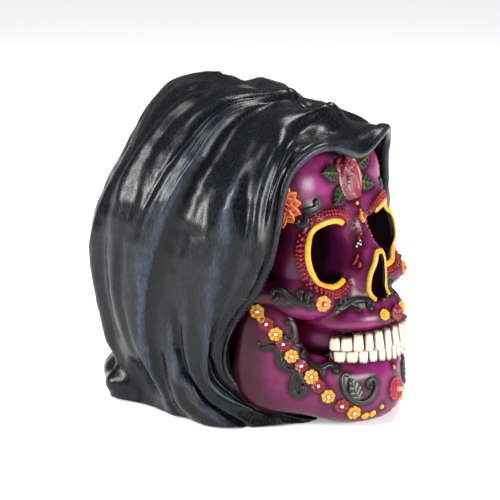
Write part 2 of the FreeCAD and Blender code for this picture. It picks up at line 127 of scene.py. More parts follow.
# ---- numbers ----
def spline(points, places):
    """A smooth curve through points, read at places from 0 to 1."""
    points = np.asarray(points, float)
    count = len(points)
    system = np.eye(count)
    right = np.zeros(points.shape)
    for i in range(1, count - 1):
        system[i, i - 1:i + 2] = 1, 4, 1
        right[i] = 6 * (points[i + 1] - 2 * points[i] + points[i - 1])
    bend = np.linalg.solve(system, right.reshape(count, -1)).reshape(points.shape)
    t = np.clip(places, 0, 1) * (count - 1)
    k = np.minimum(t.astype(int), count - 2)
    f = (t - k).reshape((-1,) + (1,) * (points.ndim - 1))
    g = 1 - f
    flat = g * points[k] + f * points[k + 1]
    return flat + ((g ** 3 - g) * bend[k] + (f ** 3 - f) * bend[k + 1]) / 6


def bump(x, middle, width):
    """A smooth hump of height 1."""
    return np.exp(-((x - middle) / width) ** 2)


def rise(x, middle, width):
    """A smooth step from 0 to 1."""
    return 0.5 * (1 + np.tanh((x - middle) / width))


def unit(vectors):
    length = np.linalg.norm(vectors, axis=-1, keepdims=True)
    return vectors / np.maximum(length, 1e-9)


# ---- distance to the bone ----
def egg(p, middle, radii, turn=0.0):
    """Roughly the distance from points to an ellipsoid, negative inside."""
    a = math.radians(turn)
    x, y, z = p[..., 0] - middle[0], p[..., 1] - middle[1], p[..., 2] - middle[2]
    q = np.stack([math.cos(a) * x + math.sin(a) * y, -math.sin(a) * x + math.cos(a) * y, z], -1)
    r = np.asarray(radii, float)
    k0 = np.linalg.norm(q / r, axis=-1)
    k1 = np.linalg.norm(q / r ** 2, axis=-1)
    return k0 * (k0 - 1) / np.maximum(k1, 1e-9)


def soft_min(a, b, k):
    """The smaller of two distances, with their join rounded over k millimetres."""
    h = np.maximum(k - np.abs(a - b), 0) / k
    return np.minimum(a, b) - h * h * k / 4


def soft_cut(a, b, k):
    """Shape a with shape b taken out of it."""
    return -soft_min(-a, b, k)


def folded(p):
    """The same points with both sides laid on the +X side."""
    q = p.copy()
    q[..., 0] = np.abs(q[..., 0])
    return q


def joined(p, table):
    """Smoothly joined lumps. A lump off the middle also counts its mirror image."""
    q = folded(p)
    found = np.full(p.shape[:-1], FAR)
    for middle, radii, turn, k in table:
        d = egg(q, middle, radii, turn)
        if 0 < middle[0] < radii[0] + 4:
            d = soft_min(d, egg(q, (-middle[0], middle[1], middle[2]), radii, -turn), k)
        found = soft_min(found, d, k)
    return found


def socket_distance(p):
    return egg(folded(p), SOCKET, SOCKET_RADII, SOCKET_TURN)


def nose_distance(p):
    q = folded(p)
    return soft_min(*[egg(q, middle, radii) for middle, radii in NOSE_LOBES], 5)


def skull(p):
    """Distance to the skull with its sockets and nose opened."""
    d = joined(p, SKULL_LUMPS)
    d = soft_cut(d, socket_distance(p), 2.5)
    return soft_cut(d, nose_distance(p), 1.6)


def jaw(p):
    d = joined(p, JAW_LUMPS)
    return soft_cut(d, egg(folded(p), *JAW_HOLLOW), 3)


def bone(p):
    return np.minimum(skull(p), jaw(p))


def slope(field, p, step=0.25):
    """The direction in which a distance grows fastest, at each point."""
    parts = []
    for axis in range(3):
        shift = np.zeros(3)
        shift[axis] = step
        parts.append(field(p + shift) - field(p - shift))
    return unit(np.stack(parts, -1))


def seat(points, field, rounds=8):
    """The nearest places on a surface, and the outward directions there."""
    p = np.array(points, float).reshape(-1, 3)
    for _ in range(rounds):
        p = p - slope(field, p) * field(p)[..., None]
    return p, slope(field, p)


def shelter(field, p, normals):
    """How closed-in points on a surface are, from 0 in the open to 1 in a deep corner. The bone uses it for
    painted shade in its hollows, partly a dark wash.
    """
    total = 0
    for k, r in enumerate((2, 4, 7, 11)):
        total = total + np.clip(r - field(p + normals * r), 0, r) / r / 2 ** k
    return np.clip(total / 1.6, 0, 1)


# ---- meshes ----
class Pile:
    """Vertices, faces and a shade per vertex, gathered for one object."""

    def __init__(self):
        self.verts, self.faces, self.shade, self.count = [], [], [], 0

    def add(self, verts, faces, shade=0.0):
        verts = np.asarray(verts, float).reshape(-1, 3)
        self.verts.append(verts)
        self.faces += [tuple(int(i) + self.count for i in f) for f in faces]
        self.shade.append(np.broadcast_to(np.asarray(shade, float), (len(verts),)))
        self.count += len(verts)

    def mirrored(self):
        """The same pile on the other side of the figure."""
        other = Pile()
        verts = np.concatenate(self.verts) * (-1, 1, 1)
        other.add(verts, [f[::-1] for f in self.faces], np.concatenate(self.shade))
        return other


def gathered(piles):
    """Several piles as one."""
    whole = Pile()
    for pile in piles:
        whole.add(np.concatenate(pile.verts), pile.faces, np.concatenate(pile.shade))
    return whole


def make(name, verts, faces, material, **numbers):
    """An object in the scene from millimetre vertices, with numbers kept per vertex."""
    mesh = bpy.data.meshes.new(name)
    mesh.from_pydata((np.asarray(verts) * MM).tolist(), [], [tuple(map(int, f)) for f in faces])
    for key, values in numbers.items():
        layer = mesh.attributes.new(key, "FLOAT", "POINT")
        layer.data.foreach_set("value", np.asarray(values, np.float32))
    mesh.polygons.foreach_set("use_smooth", [True] * len(mesh.polygons))
    mesh.materials.append(material)
    mesh.update()
    piece = bpy.data.objects.new(name, mesh)
    bpy.context.scene.collection.objects.link(piece)
    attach(piece, "root")
    return piece


def make_pile(name, pile, material):
    shade = np.concatenate(pile.shade)
    return make(name, np.concatenate(pile.verts), pile.faces, material, shade=shade)


def weld(piece, distance):
    """Joins vertices that lie within a distance of each other, in millimetres."""
    bm = bmesh.new()
    bm.from_mesh(piece.data)
    bmesh.ops.remove_doubles(bm, verts=bm.verts, dist=distance * MM)
    bmesh.ops.recalc_face_normals(bm, faces=bm.faces)
    bm.to_mesh(piece.data)
    bm.free()


def sheet_faces(rows, columns):
    """Faces of a grid of vertices, numbered row by row."""
    found = []
    for i in range(rows - 1):
        for j in range(columns - 1):
            a = i * columns + j
            found.append((a, a + columns, a + columns + 1, a + 1))
    return found


def tube_faces(rings, around):
    """Faces between rings of vertices that close on themselves."""
    found = []
    for a in range(0, (rings - 1) * around, around):
        for j in range(around):
            n = (j + 1) % around
            found.append((a + j, a + n, a + around + n, a + around + j))
    return found


def dome_faces(rings, around):
    """Faces of a dome: a top vertex, then rings of vertices going down."""
    found = []
    for j in range(around):
        n = (j + 1) % around
        found.append((0, 1 + j, 1 + n))
        for a in range(1, 1 + (rings - 1) * around, around):
            found.append((a + j, a + around + j, a + around + n, a + n))
    return found


def cell_corner(array, corner):
    """The numbers of a grid at one corner of each of its cells, such as (0, 0, 1)."""
    return array[tuple(slice(k, n - 1 + k) for k, n in zip(corner, array.shape))]


def cell_points(values, grid):
    """One point in each cell that the surface crosses, and each cell's number or -1."""
    cells = tuple(n - 1 for n in values.shape)
    total, hits = np.zeros(cells + (3,)), np.zeros(cells)
    for first in [(a, b, c) for a in (0, 1) for b in (0, 1) for c in (0, 1)]:
        for axis in range(3):
            if first[axis]:
                continue
            second = tuple(1 if k == axis else first[k] for k in range(3))
            v0, v1 = cell_corner(values, first), cell_corner(values, second)
            crossed = (v0 < 0) != (v1 < 0)
            share = np.where(crossed, v0 / np.where(crossed, v0 - v1, 1), 0)[..., None]
            place = cell_corner(grid, first) * (1 - share) + cell_corner(grid, second) * share
            total += np.where(crossed[..., None], place, 0)
            hits += crossed
    used = hits > 0
    index = np.full(cells, -1)
    index[used] = np.arange(used.sum())
    return total[used] / hits[used][:, None], index


def crossing_faces(inside, index, axis):
    """A face round each grid line along an axis that goes through the surface."""
    others = [k for k in range(3) if k != axis]
    low = [slice(1, -1)] * 3
    low[axis] = slice(0, -1)
    high = list(low)
    high[axis] = slice(1, None)
    a, b = inside[tuple(low)], inside[tuple(high)]
    faces = []
    for wanted, flip in ((a & ~b, False), (~a & b, True)):
        cells = np.argwhere(wanted)
        cells[:, others] += 1
        steps = [(0, 0), (1, 0), (1, 1), (0, 1)]
        if flip != (axis == 1):
            steps = steps[::-1]
        quad = []
        for s, t in steps:
            c = cells.copy()
            c[:, others[0]] -= s
            c[:, others[1]] -= t
            quad.append(index[c[:, 0], c[:, 1], c[:, 2]])
        faces.append(np.stack(quad, -1))
    return np.concatenate(faces)


def surface_of(field, xs, ys, zs):
    """The zero surface of a distance on a grid whose lines may be unevenly spaced."""
    grid = np.stack(np.meshgrid(xs, ys, zs, indexing="ij"), -1)
    values = np.stack([field(layer) for layer in grid])
    verts, index = cell_points(values, grid)
    faces = np.concatenate([crossing_faces(values < 0, index, axis) for axis in range(3)])
    return verts, faces[(faces >= 0).all(1)]


def uneven(low, high, fine_to, fine, coarse):
    """Grid lines that are close together up to a place and wider beyond it."""
    near = np.arange(low, fine_to, fine)
    return np.concatenate([near, np.arange(fine_to, high + coarse, coarse)])


# ---- materials ----
MIX_A, MIX_B, MIX_RESULT = 6, 7, 2    # colour sockets of the Mix node


def material(name, roughness, coat=0.0, specular=0.5):
    """A new material with its node tree and its shader."""
    made = bpy.data.materials.new(name)
    made.use_nodes = True
    shader = made.node_tree.nodes["Principled BSDF"]
    shader.inputs["Roughness"].default_value = roughness
    shader.inputs["Coat Weight"].default_value = coat
    shader.inputs["Coat Roughness"].default_value = 0.12
    shader.inputs["Specular IOR Level"].default_value = specular
    return made, made.node_tree, shader


def number(tree, name):
    """A per-vertex number as a socket."""
    node = tree.nodes.new("ShaderNodeAttribute")
    node.attribute_name = name
    return node.outputs["Fac"]


def grain(tree, scale, detail=4.0, stretch=(1, 1, 1), rough=0.55):
    """Noise whose scale counts features per millimetre."""
    coords = tree.nodes.new("ShaderNodeTexCoord")
    mapping = tree.nodes.new("ShaderNodeMapping")
    mapping.inputs["Scale"].default_value = [s / MM for s in stretch]
    noise = tree.nodes.new("ShaderNodeTexNoise")
    noise.inputs["Scale"].default_value = scale
    noise.inputs["Detail"].default_value = detail
    noise.inputs["Roughness"].default_value = rough
    tree.links.new(coords.outputs["Object"], mapping.inputs["Vector"])
    tree.links.new(mapping.outputs["Vector"], noise.inputs["Vector"])
    return noise.outputs["Fac"]


def ramp(tree, source, low, high, start=0.0, end=1.0):
    """A number carried from one range to another, held at the ends."""
    node = tree.nodes.new("ShaderNodeMapRange")
    node.inputs["From Min"].default_value = low
    node.inputs["From Max"].default_value = high
    node.inputs["To Min"].default_value = start
    node.inputs["To Max"].default_value = end
    tree.links.new(source, node.inputs["Value"])
    return node.outputs["Result"]


def maths(tree, kind, a, b):
    """A sum or product of two numbers or sockets."""
    node = tree.nodes.new("ShaderNodeMath")
    node.operation = kind
    for socket, value in zip(node.inputs, (a, b)):
        if isinstance(value, (int, float)):
            socket.default_value = value
        else:
            tree.links.new(value, socket)
    return node.outputs["Value"]


def blend(tree, share, a, b):
    """Two colours mixed by a share; each colour is a tuple or a socket."""
    node = tree.nodes.new("ShaderNodeMix")
    node.data_type = "RGBA"
    tree.links.new(share, node.inputs["Factor"])
    for key, value in ((MIX_A, a), (MIX_B, b)):
        if isinstance(value, tuple):
            node.inputs[key].default_value = (*value, 1)
        else:
            tree.links.new(value, node.inputs[key])
    return node.outputs[MIX_RESULT]


def relief(tree, shader, height, strength, distance_mm):
    """Fine bumps from a number."""
    node = tree.nodes.new("ShaderNodeBump")
    node.inputs["Strength"].default_value = strength
    node.inputs["Distance"].default_value = distance_mm * MM
    tree.links.new(height, node.inputs["Height"])
    tree.links.new(node.outputs["Normal"], shader.inputs["Normal"])


def hood_paint():
    """Near black, brushed with blue-grey where the cloth stands out."""
    made, tree, shader = material("hood_paint", 0.26, specular=0.24)
    streaks = grain(tree, 0.5, 6, (0.5, 0.5, 0.10), 0.65)
    brushed = grain(tree, 1.3, 7, (1.0, 1.0, 0.30), 0.72)
    fine = grain(tree, 2.2, 5)
    worn = number(tree, "worn")
    broad = maths(tree, "MULTIPLY", ramp(tree, worn, 0.56, 1.05), ramp(tree, streaks, 0.35, 0.62, 0.15, 1.0))
    speckle = ramp(tree, brushed, 0.48, 0.66, 0.0, 0.60)
    speckle = maths(tree, "MULTIPLY", speckle, ramp(tree, worn, 0, 1, 0.18, 0.75))
    share = maths(tree, "ADD", broad, speckle)
    colour = blend(tree, share, (0.0022, 0.0024, 0.0034), (0.038, 0.045, 0.064))
    tree.links.new(colour, shader.inputs["Base Color"])
    rough = ramp(tree, brushed, 0.3, 0.7, 0.20, 0.33)
    tree.links.new(rough, shader.inputs["Roughness"])
    height = maths(tree, "ADD", maths(tree, "MULTIPLY", streaks, 0.7), maths(tree, "MULTIPLY", fine, 0.15))
    relief(tree, shader, height, 0.40, 0.5)
    return made


def bone_paint():
    """Mottled purple; dark red painted shade in the hollows, partly a dark wash, and painted shadow under
    the hood; black paint in the sockets.
    """
    made, tree, shader = material("bone_paint", 0.26, specular=0.26)
    mottle = ramp(tree, grain(tree, 0.16, 3), 0.35, 0.65)
    fine = grain(tree, 1.5, 4)
    purple = blend(tree, mottle, (0.180, 0.013, 0.092), (0.265, 0.027, 0.150))
    # Painted shade in the hollows, partly a dark wash: the purple turns dark red where the bone is closed
    # in.
    hollow_darkening = ramp(tree, number(tree, "shelter"), 0.06, 0.52)
    hollow_darkening = maths(tree, "MULTIPLY", hollow_darkening, ramp(tree, fine, 0.2, 0.7, 0.8, 1.1))
    colour = blend(tree, hollow_darkening, purple, (0.062, 0.0015, 0.013))
    # Dark red: painted shadow of the hood, painted shade under the jaw, at the temple and round ornaments,
    # and the dark red paint of the sockets' inner walls.
    colour = blend(tree, number(tree, "ruddy"), colour, (0.024, 0.0006, 0.0035))
    colour = blend(tree, number(tree, "black"), colour, (0.0035, 0.003, 0.004))
    tree.links.new(colour, shader.inputs["Base Color"])
    relief(tree, shader, fine, 0.15, 0.3)
    return made


def plain_paint(name, light, dark, roughness=0.34, coat=0.12, low=0.35, high=0.65):
    """Brushed paint between two tones, darker where the piece's shade number is high; that number marks
    darker paint and, in the crevices of roses and flowers, painted shade.
    """
    made, tree, shader = material(name, roughness, coat, 0.35)
    tone = ramp(tree, grain(tree, 0.9, 4), low, high)
    share = maths(tree, "MAXIMUM", maths(tree, "MULTIPLY", tone, 0.5), number(tree, "shade"))
    tree.links.new(blend(tree, share, light, dark), shader.inputs["Base Color"])
    relief(tree, shader, grain(tree, 2.5, 3), 0.2, 0.15)
    return made


# ---- raised work on the bone ----
BOLD = 1.6                   # scroll lines are made this much wider than they are listed


def turned(flat, angle):
    """Flat points turned by some degrees."""
    a = math.radians(angle)
    return flat @ np.array([[math.cos(a), math.sin(a)], [-math.sin(a), math.cos(a)]])


class Relief(Pile):
    """Raised work round one place on the bone. Flat points are (right, up) in millimetres."""

    def __init__(self, place, turn=0.0):
        super().__init__()
        place = np.array([place], float)
        self.field = skull if skull(place)[0] < jaw(place)[0] else jaw
        spot, out = seat(place, self.field)
        self.spot = spot[0]
        right = unit(np.cross((0, 0, 1.0), out[0]))
        up = np.cross(out[0], right)
        c, s = math.cos(math.radians(turn)), math.sin(math.radians(turn))
        self.right, self.up = right * c + up * s, up * c - right * s

    def drape(self, flat, heights, faces, shade=0.0):
        """Lays flat points on the bone and lifts each by its height."""
        flat = np.asarray(flat, float)
        base = self.spot + self.right * flat[:, :1] + self.up * flat[:, 1:]
        place, out = seat(base, self.field, 4)
        self.add(place + out * np.asarray(heights, float)[:, None], faces, shade)

    def dome(self, at, radius, height, stretch=1.0, turn=0.0, shade=0.0):
        """A round or oval bead, sunk a little at its edge."""
        rings, around = 4, 14
        flat, heights = [(0, 0)], [height]
        for k in range(1, rings + 2):
            t = min(k / rings, 1) * math.pi / 2
            for j in range(around):
                a = 2 * math.pi * j / around
                flat.append((stretch * math.sin(t) * math.cos(a), math.sin(t) * math.sin(a)))
                heights.append(height * math.cos(t) if k <= rings else -0.4)
        flat = turned(np.array(flat) * radius, turn) + at
        self.drape(flat, heights, dome_faces(rings + 1, around), shade)

    def petal(self, turn, start, length, width, height, point, dark):
        """One petal that leaves the middle at a distance and an angle. point 0 is round, 1 sharp."""
        along = np.array([0, 0.15, 0.35, 0.55, 0.72, 0.86, 0.95, 1.0])
        across = np.array([-1, -0.86, -0.5, 0, 0.5, 0.86, 1])
        u, w = np.meshgrid(along, across, indexing="ij")
        blunt = np.sin(math.pi * np.clip(0.12 + 0.88 * u, 0, 1) ** 1.5) ** 0.55
        sharp = np.sin(math.pi * np.clip(0.16 + 0.84 * u, 0, 1)) ** 1.1
        half = width / 2 * (blunt * (1 - point) + sharp * point)
        flat = np.stack([start + length * u, half * w], -1).reshape(-1, 2)
        trough = 1 - 0.35 * (1 - w * w)
        lift = height * (0.55 + 0.45 * u) * trough
        edge = (np.abs(w) > 0.99) | (u > 0.99)
        heights = np.where(edge, SUNK, lift).reshape(-1)
        # middle_dark darkens the base of a petal in its own paint; the term for the gaps is painted shade in
        # the crevices between neighbouring petals.
        middle_dark = (1 - u) * 1.3 - 0.35 * np.abs(w)
        gap_shade = (1 - u) * (0.25 + 1.4 * w ** 2)
        shade = dark * np.clip(middle_dark * point + gap_shade * (1 - point), 0, 1)
        self.drape(turned(flat, turn), heights, sheet_faces(*u.shape), shade.reshape(-1))

    def flower(self, radius, petals, height, turn=0.0, point=0.0, dark=0.9, wide=1.0):
        """A ring of petals round the middle."""
        inner = 0.22 * radius
        width = wide * 2 * radius * math.sin(math.pi / petals) * 0.92
        for k in range(petals):
            self.petal(turn + 360 * k / petals, inner, radius - inner, width, height, point, dark)

    def ridge(self, path, width, height, taper, groove=0.0, blob=0.0):
        """A raised line along flat points, thinner at its ends, with a round end if blob is set."""
        path = np.array(path, float)
        width = width * BOLD
        reach = np.linalg.norm(np.diff(path, axis=0), axis=1).sum()
        t = np.linspace(0, 1, max(8, int(reach * 2.2)))
        line = spline(path, t)
        ahead = unit(np.gradient(line, axis=0))
        side = np.stack([-ahead[:, 1], ahead[:, 0]], -1)
        thin = np.minimum(1, taper[0] + (1 - taper[0]) * t / 0.3)
        thin = thin * np.minimum(1, taper[1] + (1 - taper[1]) * (1 - t) / 0.4)
        thin[[0, -1]] *= 0.4
        w = np.array([-1, -0.92, -0.6, -0.25, 0, 0.25, 0.6, 0.92, 1])
        flat = line[:, None] + side[:, None] * (w[None, :, None] * (width / 2 * thin)[:, None, None])
        shape = np.sqrt(np.maximum(1 - w * w, 0)) - groove * np.exp(-(w / 0.28) ** 2)
        heights = height * (0.4 + 0.6 * thin)[:, None] * shape[None]
        heights[:, [0, -1]] = SUNK
        heights[[0, -1]] = SUNK
        self.drape(flat.reshape(-1, 2), heights.reshape(-1), sheet_faces(len(t), len(w)))
        if blob:
            self.dome(line[-2], blob * BOLD * 0.9, height * 1.15)

    def leaf(self, at, turn, length, width, height, teeth=5):
        """A saw-edged leaf with a middle rib and side veins; at is its middle."""
        u, w = np.meshgrid(np.linspace(0, 1, 31), np.linspace(-1, 1, 17), indexing="ij")
        saw = 1 - 0.16 * ((u * teeth) % 1.0)
        half = width / 2 * np.sin(math.pi * np.clip(u, 0.02, 0.985) ** 0.75) ** 0.8 * saw
        flat = np.stack([length * (u - 0.5), half * w], -1).reshape(-1, 2)
        rib = np.exp(-(w / 0.10) ** 2)
        vein = np.exp(-((((u * teeth - 0.9 * np.abs(w)) % 1.0) - 0.5) / 0.16) ** 2)
        lift = height * (0.72 + 0.28 * np.cos(math.pi * w / 2)) + height * (0.22 * rib + 0.22 * vein - 0.2)
        edge = (np.abs(w) > 0.99) | (u < 0.01) | (u > 0.99)
        heights = np.where(edge, SUNK, lift).reshape(-1)
        shade = np.clip(1.0 - 0.75 * rib - 0.45 * vein * (np.abs(w) < 0.8), 0, 1)
        self.drape(turned(flat, turn) + at, heights, sheet_faces(*u.shape), shade.reshape(-1))


def rose(work, petals, size, lip):
    """Overlapping cupped petals. Each petal: (right, up, half width, half height, turn, level)."""
    n = 64
    across, upwards = [np.linspace(-half, half, n) for half in size]
    gx, gy = np.meshgrid(across, upwards, indexing="ij")
    height = np.full(gx.shape, -0.4)
    for right, up, half_w, half_h, turn, level in petals:
        local = turned(np.stack([gx - right, gy - up], -1).reshape(-1, 2), -turn).reshape(n, n, 2)
        d = np.hypot(local[..., 0] / half_w, local[..., 1] / half_h)
        cup = level + lip * np.clip(d, 0, 1) ** 6 - 0.5 * (1 - np.clip(d, 0, 1)) ** 2
        height = np.where(d < 1, np.maximum(height, cup), height)
    # Painted shade: the rose is darker in the crevices between its petals.
    deep = smoothed(height, 8) - height
    shade = np.clip(0.04 + 3.0 * deep, 0, 1).reshape(-1)
    inside = smoothed((height > 0).astype(float), 1) > 0.01
    keep = [face for face in sheet_faces(n, n) if all(inside.flat[i] for i in face)]
    used = sorted({i for face in keep for i in face})
    place = {old: new for new, old in enumerate(used)}
    flat = np.stack([gx, gy], -1).reshape(-1, 2)[used]
    keep = [tuple(place[i] for i in face) for face in keep]
    work.drape(flat, height.reshape(-1)[used], keep, shade[used])


# ---- lines round the openings ----
def shell(p):
    """Distance to the skull as if its sockets and nose were still closed."""
    return joined(p, SKULL_LUMPS)


def rim_places(hole, starts, offset):
    """Places on the closed skull at a distance outside a hole's edge."""
    p = np.array(starts, float)
    for _ in range(14):
        p = p - slope(shell, p) * shell(p)[:, None]
        way = slope(hole, p)
        out = slope(shell, p)
        way = unit(way - out * (way * out).sum(-1, keepdims=True))
        p = p + way * np.clip(offset - hole(p), -1.5, 1.5)[:, None] * 0.8
    return p


def eye_places(angles, offset):
    """Places round the right socket; angle 0 is towards the nose and 90 is up."""
    a = np.radians(angles)
    x = -SOCKET[0] + 13 * np.cos(a)
    z = SOCKET[2] + 13 * np.sin(a)
    return rim_places(socket_distance, np.stack([x, x * 0 - 56, z], -1), offset)


def walked(places, hole, distance):
    """Places moved over the closed skull, straight away from a hole."""
    p, steps = places.copy(), max(1, int(distance / 0.4))
    way = slope(hole, p)
    for _ in range(steps):
        out = slope(shell, p)
        way = unit(way - out * (way * out).sum(-1, keepdims=True))
        p = p + way * distance / steps
        p = p - slope(shell, p) * shell(p)[:, None]
    return p, slope(shell, p)


def eased(places):
    """A line on the closed skull with its corners rounded off, and the outward directions."""
    for _ in range(60):
        places[1:-1] = (places[:-2] + places[2:] + 2 * places[1:-1]) / 4
    places = places - slope(shell, places) * shell(places)[:, None]
    return places, slope(shell, places)


def nose_places(angles, offset):
    """Places round the nose opening; angle 0 is up and 90 is towards the right side."""
    a = np.radians(angles)
    x = -6 * np.sin(a)
    z = 60 + 9 * np.cos(a)
    return rim_places(nose_distance, np.stack([x, x * 0 - 66, z], -1), offset)


def band(pile, places, outs, width, height):
    """A rounded painted line through seated places."""
    ahead = unit(np.gradient(places, axis=0))
    side = unit(np.cross(outs, ahead))
    w = np.array([-1, -0.85, -0.5, 0, 0.5, 0.85, 1])
    rise_by = height * np.sqrt(np.maximum(1 - w ** 2, 0)) - 0.3 * (np.abs(w) > 0.99)
    verts = places[:, None] + side[:, None] * (w[None, :, None] * width / 2)
    verts = verts + outs[:, None] * rise_by[None, :, None]
    ends = [0, -1]
    verts[ends] = places[ends][:, None] - outs[ends][:, None] * 0.3
    pile.add(verts.reshape(-1, 3), sheet_faces(len(places), len(w)))


def beads_at(pile, places, outs, sizes, height):
    """Small oval domes at seated places; each size is (along the skin, across it)."""
    rings, around = 3, 9
    across = unit(np.cross(outs, (0, 1.0, 0)))
    for place, out, right, size in zip(places, outs, across, sizes):
        up = np.cross(out, right)
        verts = [place + out * height]
        for i in range(1, rings + 1):
            t = i / rings * math.pi / 2 * 1.12
            for j in range(around):
                a = 2 * math.pi * j / around
                flat = right * math.cos(a) * size[0] + up * math.sin(a) * size[1]
                verts.append(place + flat * math.sin(t) + out * height * math.cos(t))
        pile.add(verts, dome_faces(rings, around))


# ---- the hood ----
# r counts ribs from the face opening and v counts stations down from the crown.
RIB_COUNT, STATION_COUNT = HOOD_RIBS.shape[0] - 1, HOOD_RIBS.shape[1] - 1
LOWEST_Z, HIGHEST_Z = 0.3, 140.9
WIDEST_X = 54.5              # beyond this the side bulge is pressed back
WORN_RIM = 0.75              # how worn the rounded edge of the opening is

# Folds that run straight down: (height, rib, half width, station, reach along the rib).
STRAIGHT_FOLDS = [
    (1.6, 1.32, 0.30, 2.9, 1.3), (-1.2, 0.92, 0.20, 2.5, 1.0), (1.5, 1.05, 0.40, 4.2, 0.9),
    (1.6, 0.62, 0.30, 4.8, 0.8), (-0.8, 0.32, 0.17, 2.6, 1.4), (0.6, 3.55, 0.20, 1.9, 0.9),
    (-0.7, 3.98, 0.22, 2.6, 1.3), (0.9, 4.45, 0.30, 2.6, 1.4), (-1.0, 5.05, 0.32, 2.9, 1.5),
    (1.1, 5.80, 0.36, 2.6, 1.6), (-0.8, 3.66, 0.24, 5.2, 1.5), (1.3, 4.15, 0.30, 5.4, 1.5),
    (-1.5, 4.75, 0.26, 5.6, 1.6), (1.5, 5.30, 0.26, 5.2, 1.7), (-1.4, 5.80, 0.22, 5.0, 1.8),
    (1.3, 6.30, 0.22, 4.6, 2.2), (-1.3, 6.72, 0.20, 4.8, 2.0), (0.8, 5.2, 0.6, 7.35, 0.40),
    (-1.4, 4.2, 0.3, 7.35, 0.40), (1.0, 3.0, 0.3, 7.35, 0.40),
]
# Lumps where folds meet on the crown line: (y, z, reach, height).
KNOBS = [(-20, 134, 9, 2.2), (-40, 128, 8, 2.4), (-29, 130.5, 5, -2.4)]


def hood_grid():
    """Places on the smooth hood: columns round it from rim to rim, rows from crown to hem."""
    other = HOOD_RIBS[:, ::-1] * (-1, 1, 1)
    arches = np.concatenate([other[:, :-1], HOOD_RIBS], axis=1)
    rows = spline(arches.transpose(1, 0, 2), np.linspace(0.5, 1, HOOD_ROWS))
    back = rows[:, ::-1] * (-1, 1, 1)
    rings = np.concatenate([rows, back[:, 1:]], axis=1)
    return spline(rings.transpose(1, 0, 2), np.linspace(0, 1, HOOD_COLUMNS))


def sag(r, v):
    """Broad changes of the hood's shape: lower on the crown, drawn in above the foot at the back."""
    crown = np.interp(r, [0, 0.45, 0.9, 1.5, 2.2, 3.0, 3.6, 4.3, 5, 6, 6.5, 7],
                      [1.6, 3.2, 3.4, 2.8, 3.2, 6.8, 4.8, 4.8, 6.6, 4.0, 2.4, 1.0])
    h = -crown * bump(v, 0, 1.9)
    h -= 4.0 * bump(r, 0.95, 0.55) * bump(v, 1.0, 0.6)
    h -= 5.8 * bump(r, 6.2, 1.4) * bump(v, 3.15, 1.05)
    h -= 7.5 * bump(r, 5.9, 1.3) * bump(v, 6.85, 0.36)
    return h - 1.2 * bump(r, 5.6, 1.2) * bump(v, 7.7, 0.45)


def doubled_edge(r, v):
    """The long step down each side where the cloth doubles over, with creases behind it."""
    edge = np.interp(v, [0, 1, 1.6, 2.3, 2.9, 4, 5, 6, 6.7, 7.5, 8],
                     [3.05, 2.9, 2.86, 2.75, 2.78, 2.82, 2.88, 2.97, 3.2, 3.42, 3.4])
    strong = np.interp(v, [0, 0.6, 1.5, 4, 7, 8], [0.6, 1.2, 2.6, 3.0, 2.2, 1.0])
    back = r - edge
    h = strong * rise(back, 0, 0.05) * np.exp(-np.maximum(back, 0) / 0.6)
    h -= 0.65 * strong * bump(back, -0.20, 0.20)
    for offset, height, width in ((0.13, -0.35, 0.035), (0.30, 0.5, 0.06), (0.46, -0.6, 0.07)):
        h += height * bump(back, offset, width) * bump(v, 2.4, 1.5)
    return h


def side_folds(r, v):
    """A short ridge on the crown and the main fold down the side, between two hollows."""
    ridge = np.interp(v, [0, 2.2, 3.7, 8], [2.45, 2.37, 2.40, 2.5])
    h = 1.5 * bump(r, ridge, 0.17) * bump(v, 2.9, 0.9)
    centre = np.interp(v, [1.4, 2.2, 3.3, 4.4, 5.2, 5.8, 6.4, 6.9, 8],
                       [2.0, 2.0, 1.97, 1.95, 1.92, 1.78, 1.35, 1.0, 0.8])
    h += 2.2 * bump(r, centre, 0.24) * rise(v, 2.6, 0.4) * rise(-v, -7.4, 0.4)
    h -= 1.6 * bump(r, centre + 0.38, 0.18) * bump(v, 2.9, 1.3)
    return h - 1.1 * bump(r, centre - 0.42, 0.22) * rise(v, 3.0, 0.5) * rise(-v, -6.8, 0.5)


def low_grooves(r, v):
    """The two grooves that run forwards to the hem, and the swell at the foot of the opening."""
    groove = np.interp(v, [5, 5.6, 6.1, 6.6, 6.9, 7.5, 8], [2.5, 2.45, 2.42, 2.3, 2.08, 2.0, 2.0])
    h = -2.2 * bump(r, groove, 0.08) * rise(v, 5.3, 0.2)
    h += 1.0 * bump(r, groove + 0.25, 0.15) * rise(v, 5.6, 0.3)
    groove = np.interp(v, [5.5, 6.0, 6.4, 7.0, 7.5, 8], [1.7, 1.5, 0.75, 0.5, 0.9, 1.0])
    h -= 1.3 * bump(r, groove, 0.14) * rise(v, 5.9, 0.3)
    return h + 0.9 * bump(r, 0.12, 0.16) * rise(v, 5.6, 0.4)


def folds(r, v):
    """Height of the cloth's folds, which fade out on the crown line."""
    h = doubled_edge(r, v) + side_folds(r, v) + low_grooves(r, v)
    for height, rib, width, station, reach in STRAIGHT_FOLDS:
        h += height * bump(r, rib, width) * bump(v, station, reach)
    return 1.15 * h * rise(v, 0.85, 0.40)


def rim_band(r, v):
    """Height of the flat band along the opening, with a groove behind it and a row of pricks."""
    flat = 0.55 * rise(-r, -0.19, 0.03) - 0.45 * bump(r, 0.25, 0.04)
    pricks = bump((v * 9) % 1.0, 0.5, 0.22) * bump(r, 0.10, 0.035) * bump(v, 2.0, 0.8)
    return (flat - 0.4 * pricks) * rise(-v, -6.6, 0.3)


def knobs(points):
    """Height of the lumps on the crown line."""
    h = 0
    for y, z, width, height in KNOBS:
        far = np.linalg.norm(points - (0, y, z), axis=-1)
        h = h + height * bump(far, 0, width)
    return h


def wavy(points, size, seed):
    """Smooth noise from a few sine waves, about -1 to 1."""
    chance = np.random.default_rng(seed)
    total = 0
    for _ in range(7):
        way = unit(chance.normal(size=3)) * 2 * math.pi / size * chance.uniform(0.6, 1.5)
        total = total + np.sin(points @ way + chance.uniform(0, 6.3))
    return total / 3


